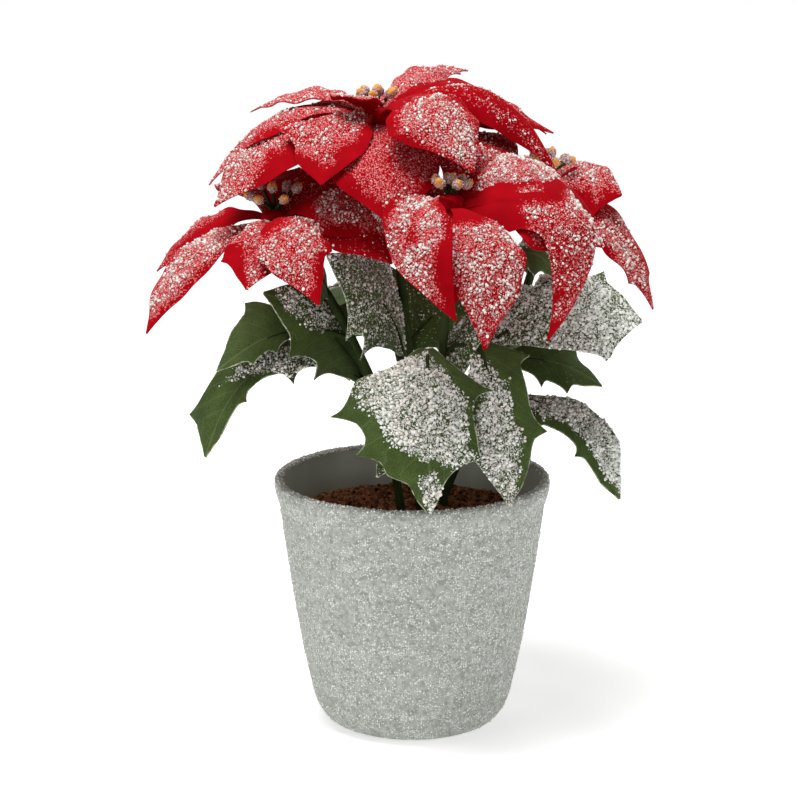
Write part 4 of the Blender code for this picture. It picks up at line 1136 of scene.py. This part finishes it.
# Start, direction and length of each bud stalk of one head: an upright one and a ring round it, and all
# of them nod together by a turn round the axis lean
def budPlaces(name, spot):
    spread = np.random.default_rng(len(name))
    base = np.array(spot["centre"], float) + (0, 0, head["above"] + bud["gap"] + 1)
    towards, nod = np.radians(spot["budNod"])
    lean = np.array([-math.sin(towards), math.cos(towards), 0])

    def nodding(way):
        return (way * math.cos(nod) + np.cross(lean, way) * math.sin(nod)
                + lean * (lean @ way) * (1 - math.cos(nod)))

    places = [(base, nodding(np.array([0, 0, 1.0])), spot["budStalk"] * 0.9)]
    for index in range(bud["count"] - 1):
        heading = math.radians(spot["budTurn"] + 360 / (bud["count"] - 1) * index + spread.uniform(-8, 8))
        tilt = math.radians(spread.uniform(*spot["budTilt"]))
        out = np.array([math.cos(heading), math.sin(heading), 0])
        way = nodding(out * math.sin(tilt) + (0, 0, math.cos(tilt)))
        places.append((base + out * bud["ring"], way, spot["budStalk"] * spread.uniform(0.85, 1.1)))
    return places


# The buds of one head: each is a stalk and an egg whose radius is sin to the 0.8 of its length, lumpy, with
# its end coloured by pollen and a dust of snow
def makeBuds(name, spot):
    draw = np.random.default_rng(len(name) + 80)
    parts, kinds, tips, dusted = [], [], [], []
    share = np.linspace(0.02, 0.98, 13)
    reach = bud["radius"] * bud["long"]
    for place, way, length in budPlaces(name, spot):
        path = place + np.linspace(-0.6, length - 1, 7)[:, None] * way
        stalk = tube(path, bud["stalkRadius"] * np.linspace(1.3, 1, 7), 8)
        centre = place + way * length
        path = centre + ((share * 2 - 1) * reach)[:, None] * way
        points, faceSets = tube(path, bud["radius"] * np.sin(math.pi * share) ** 0.8, 16)
        lumps = 0.5 * (softNoise(points, 0.9, 81) - 0.5) + 0.3 * (softNoise(points, 2.0, 82) - 0.5)
        points = points + lumps[:, None] * unit(points - centre)
        parts += [stalk, (points, faceSets)]
        kinds += [np.ones(len(faces)) for faces in stalk[1]] + [np.zeros(len(faces)) for faces in faceSets]
        side = unit(np.cross(way, draw.normal(size=3)))
        height = (points - centre) @ (way + 0.35 * side) / reach + 0.4 * (softNoise(points, 1.2, 83) - 0.5)
        tips += [np.zeros(len(stalk[0])), smoothStep(0.35, 0.6, height)]
        around = unit(draw.normal(size=(bud["dust"], 3)))
        dusted.append(centre + bud["radius"] * bud["dustSunk"] * around
                      + (bud["long"] - 1) * bud["radius"] * (around @ way)[:, None] * way)
    makePiece("buds_" + name, *gather(parts), [budFoam, tape], ["cyathia_" + name], "cyathia", kinds,
              dict(tip=np.concatenate(tips)), sharp=None)
    places = np.vstack(dusted)
    part, count = grainParts(places, draw.uniform(*bud["dustRadii"], len(places)), 8, draw)
    tint = np.repeat(draw.random(len(places)) * bud["dustTint"], count)
    makePiece("snow_buds_" + name, *part, [snow], [], "cyathia", values=dict(tint=tint), sharp=None)


for name, spot in heads.items():
    makeBuds(name, spot)
print("buds made")

# The floor's ends, its bend and half its width, in mm
stage = dict(near=-1800, bendStart=1400, bendRadius=900, top=3200, halfWidth=3000)


# A plain pale floor that turns up into a backdrop: flat, a quarter circle, then a wall
def makeStage():
    bend = np.linspace(0, math.pi / 2, 16)
    radius = stage["bendRadius"]
    run = [stage["near"], *(stage["bendStart"] + radius * np.sin(bend)), stage["bendStart"] + radius]
    rise = [0, *(radius - radius * np.cos(bend)), stage["top"]]
    across = (-stage["halfWidth"], stage["halfWidth"])
    points = np.array([(x, y, z) for y, z in zip(run, rise) for x in across])
    mesh = bpy.data.meshes.new("studio_floor")
    mesh.from_pydata((points * mm).tolist(), [], gridFaces(len(run), 2).tolist())
    mesh.materials.append(makeFloorPaper())
    mesh.shade_smooth()
    floor = bpy.data.objects.new("studio_floor", mesh)
    bpy.context.scene.collection.objects.link(floor)


# Soft boxes, with their power in watts, are aimed at the middle of the plant
softBoxes = {
    "soft_box_above": dict(place=(-200, -150, 1300), size=(600, 600), watts=16),
    "soft_box_left": dict(place=(-1000, -900, 700), size=(700, 900), watts=2.9),
    "soft_box_right": dict(place=(1100, -800, 600), size=(700, 900), watts=2.5),
}


def makeLight(name, place, size, watts):
    lamp = bpy.data.lights.new(name, "AREA")
    lamp.shape = "RECTANGLE"
    lamp.size, lamp.size_y = size[0] * mm, size[1] * mm
    lamp.energy = watts
    light = bpy.data.objects.new(name, lamp)
    light.location = np.array(place) * mm
    towards = unit(np.array([0, 0, 150.0]) - place)
    light.rotation_euler = (math.acos(-towards[2]), 0, math.atan2(-towards[0], towards[1]))
    bpy.context.scene.collection.objects.link(light)


makeStage()
for name, box in softBoxes.items():
    makeLight(name, **box)

world = bpy.data.worlds.new("studio")
world.use_nodes = True
world.node_tree.nodes["Background"].inputs[0].default_value = (1, 1, 1, 1)
world.node_tree.nodes["Background"].inputs[1].default_value = 0.22
bpy.context.scene.world = world
bpy.context.scene.view_settings.view_transform = "Standard"

lens = bpy.data.cameras.new("photo_view")
lens.lens = view["lens"]
lens.sensor_width = view["sensor"]
lens.clip_end = 20
camera = bpy.data.objects.new("photo_view", lens)
camera.location = np.array(view["place"]) * mm
camera.rotation_euler = (math.radians(90 - view["lookDown"]), 0, 0)
bpy.context.scene.collection.objects.link(camera)
bpy.context.scene.camera = camera
print("stage, lights and camera made")

counts = {piece.name: len(piece.data.loops) - 2 * len(piece.data.polygons)
          for piece in bpy.context.scene.objects if piece.type == "MESH" and not piece.hide_render}
print("triangles", sum(counts.values()), "largest", sorted(counts.items(), key=lambda item: -item[1])[:8])
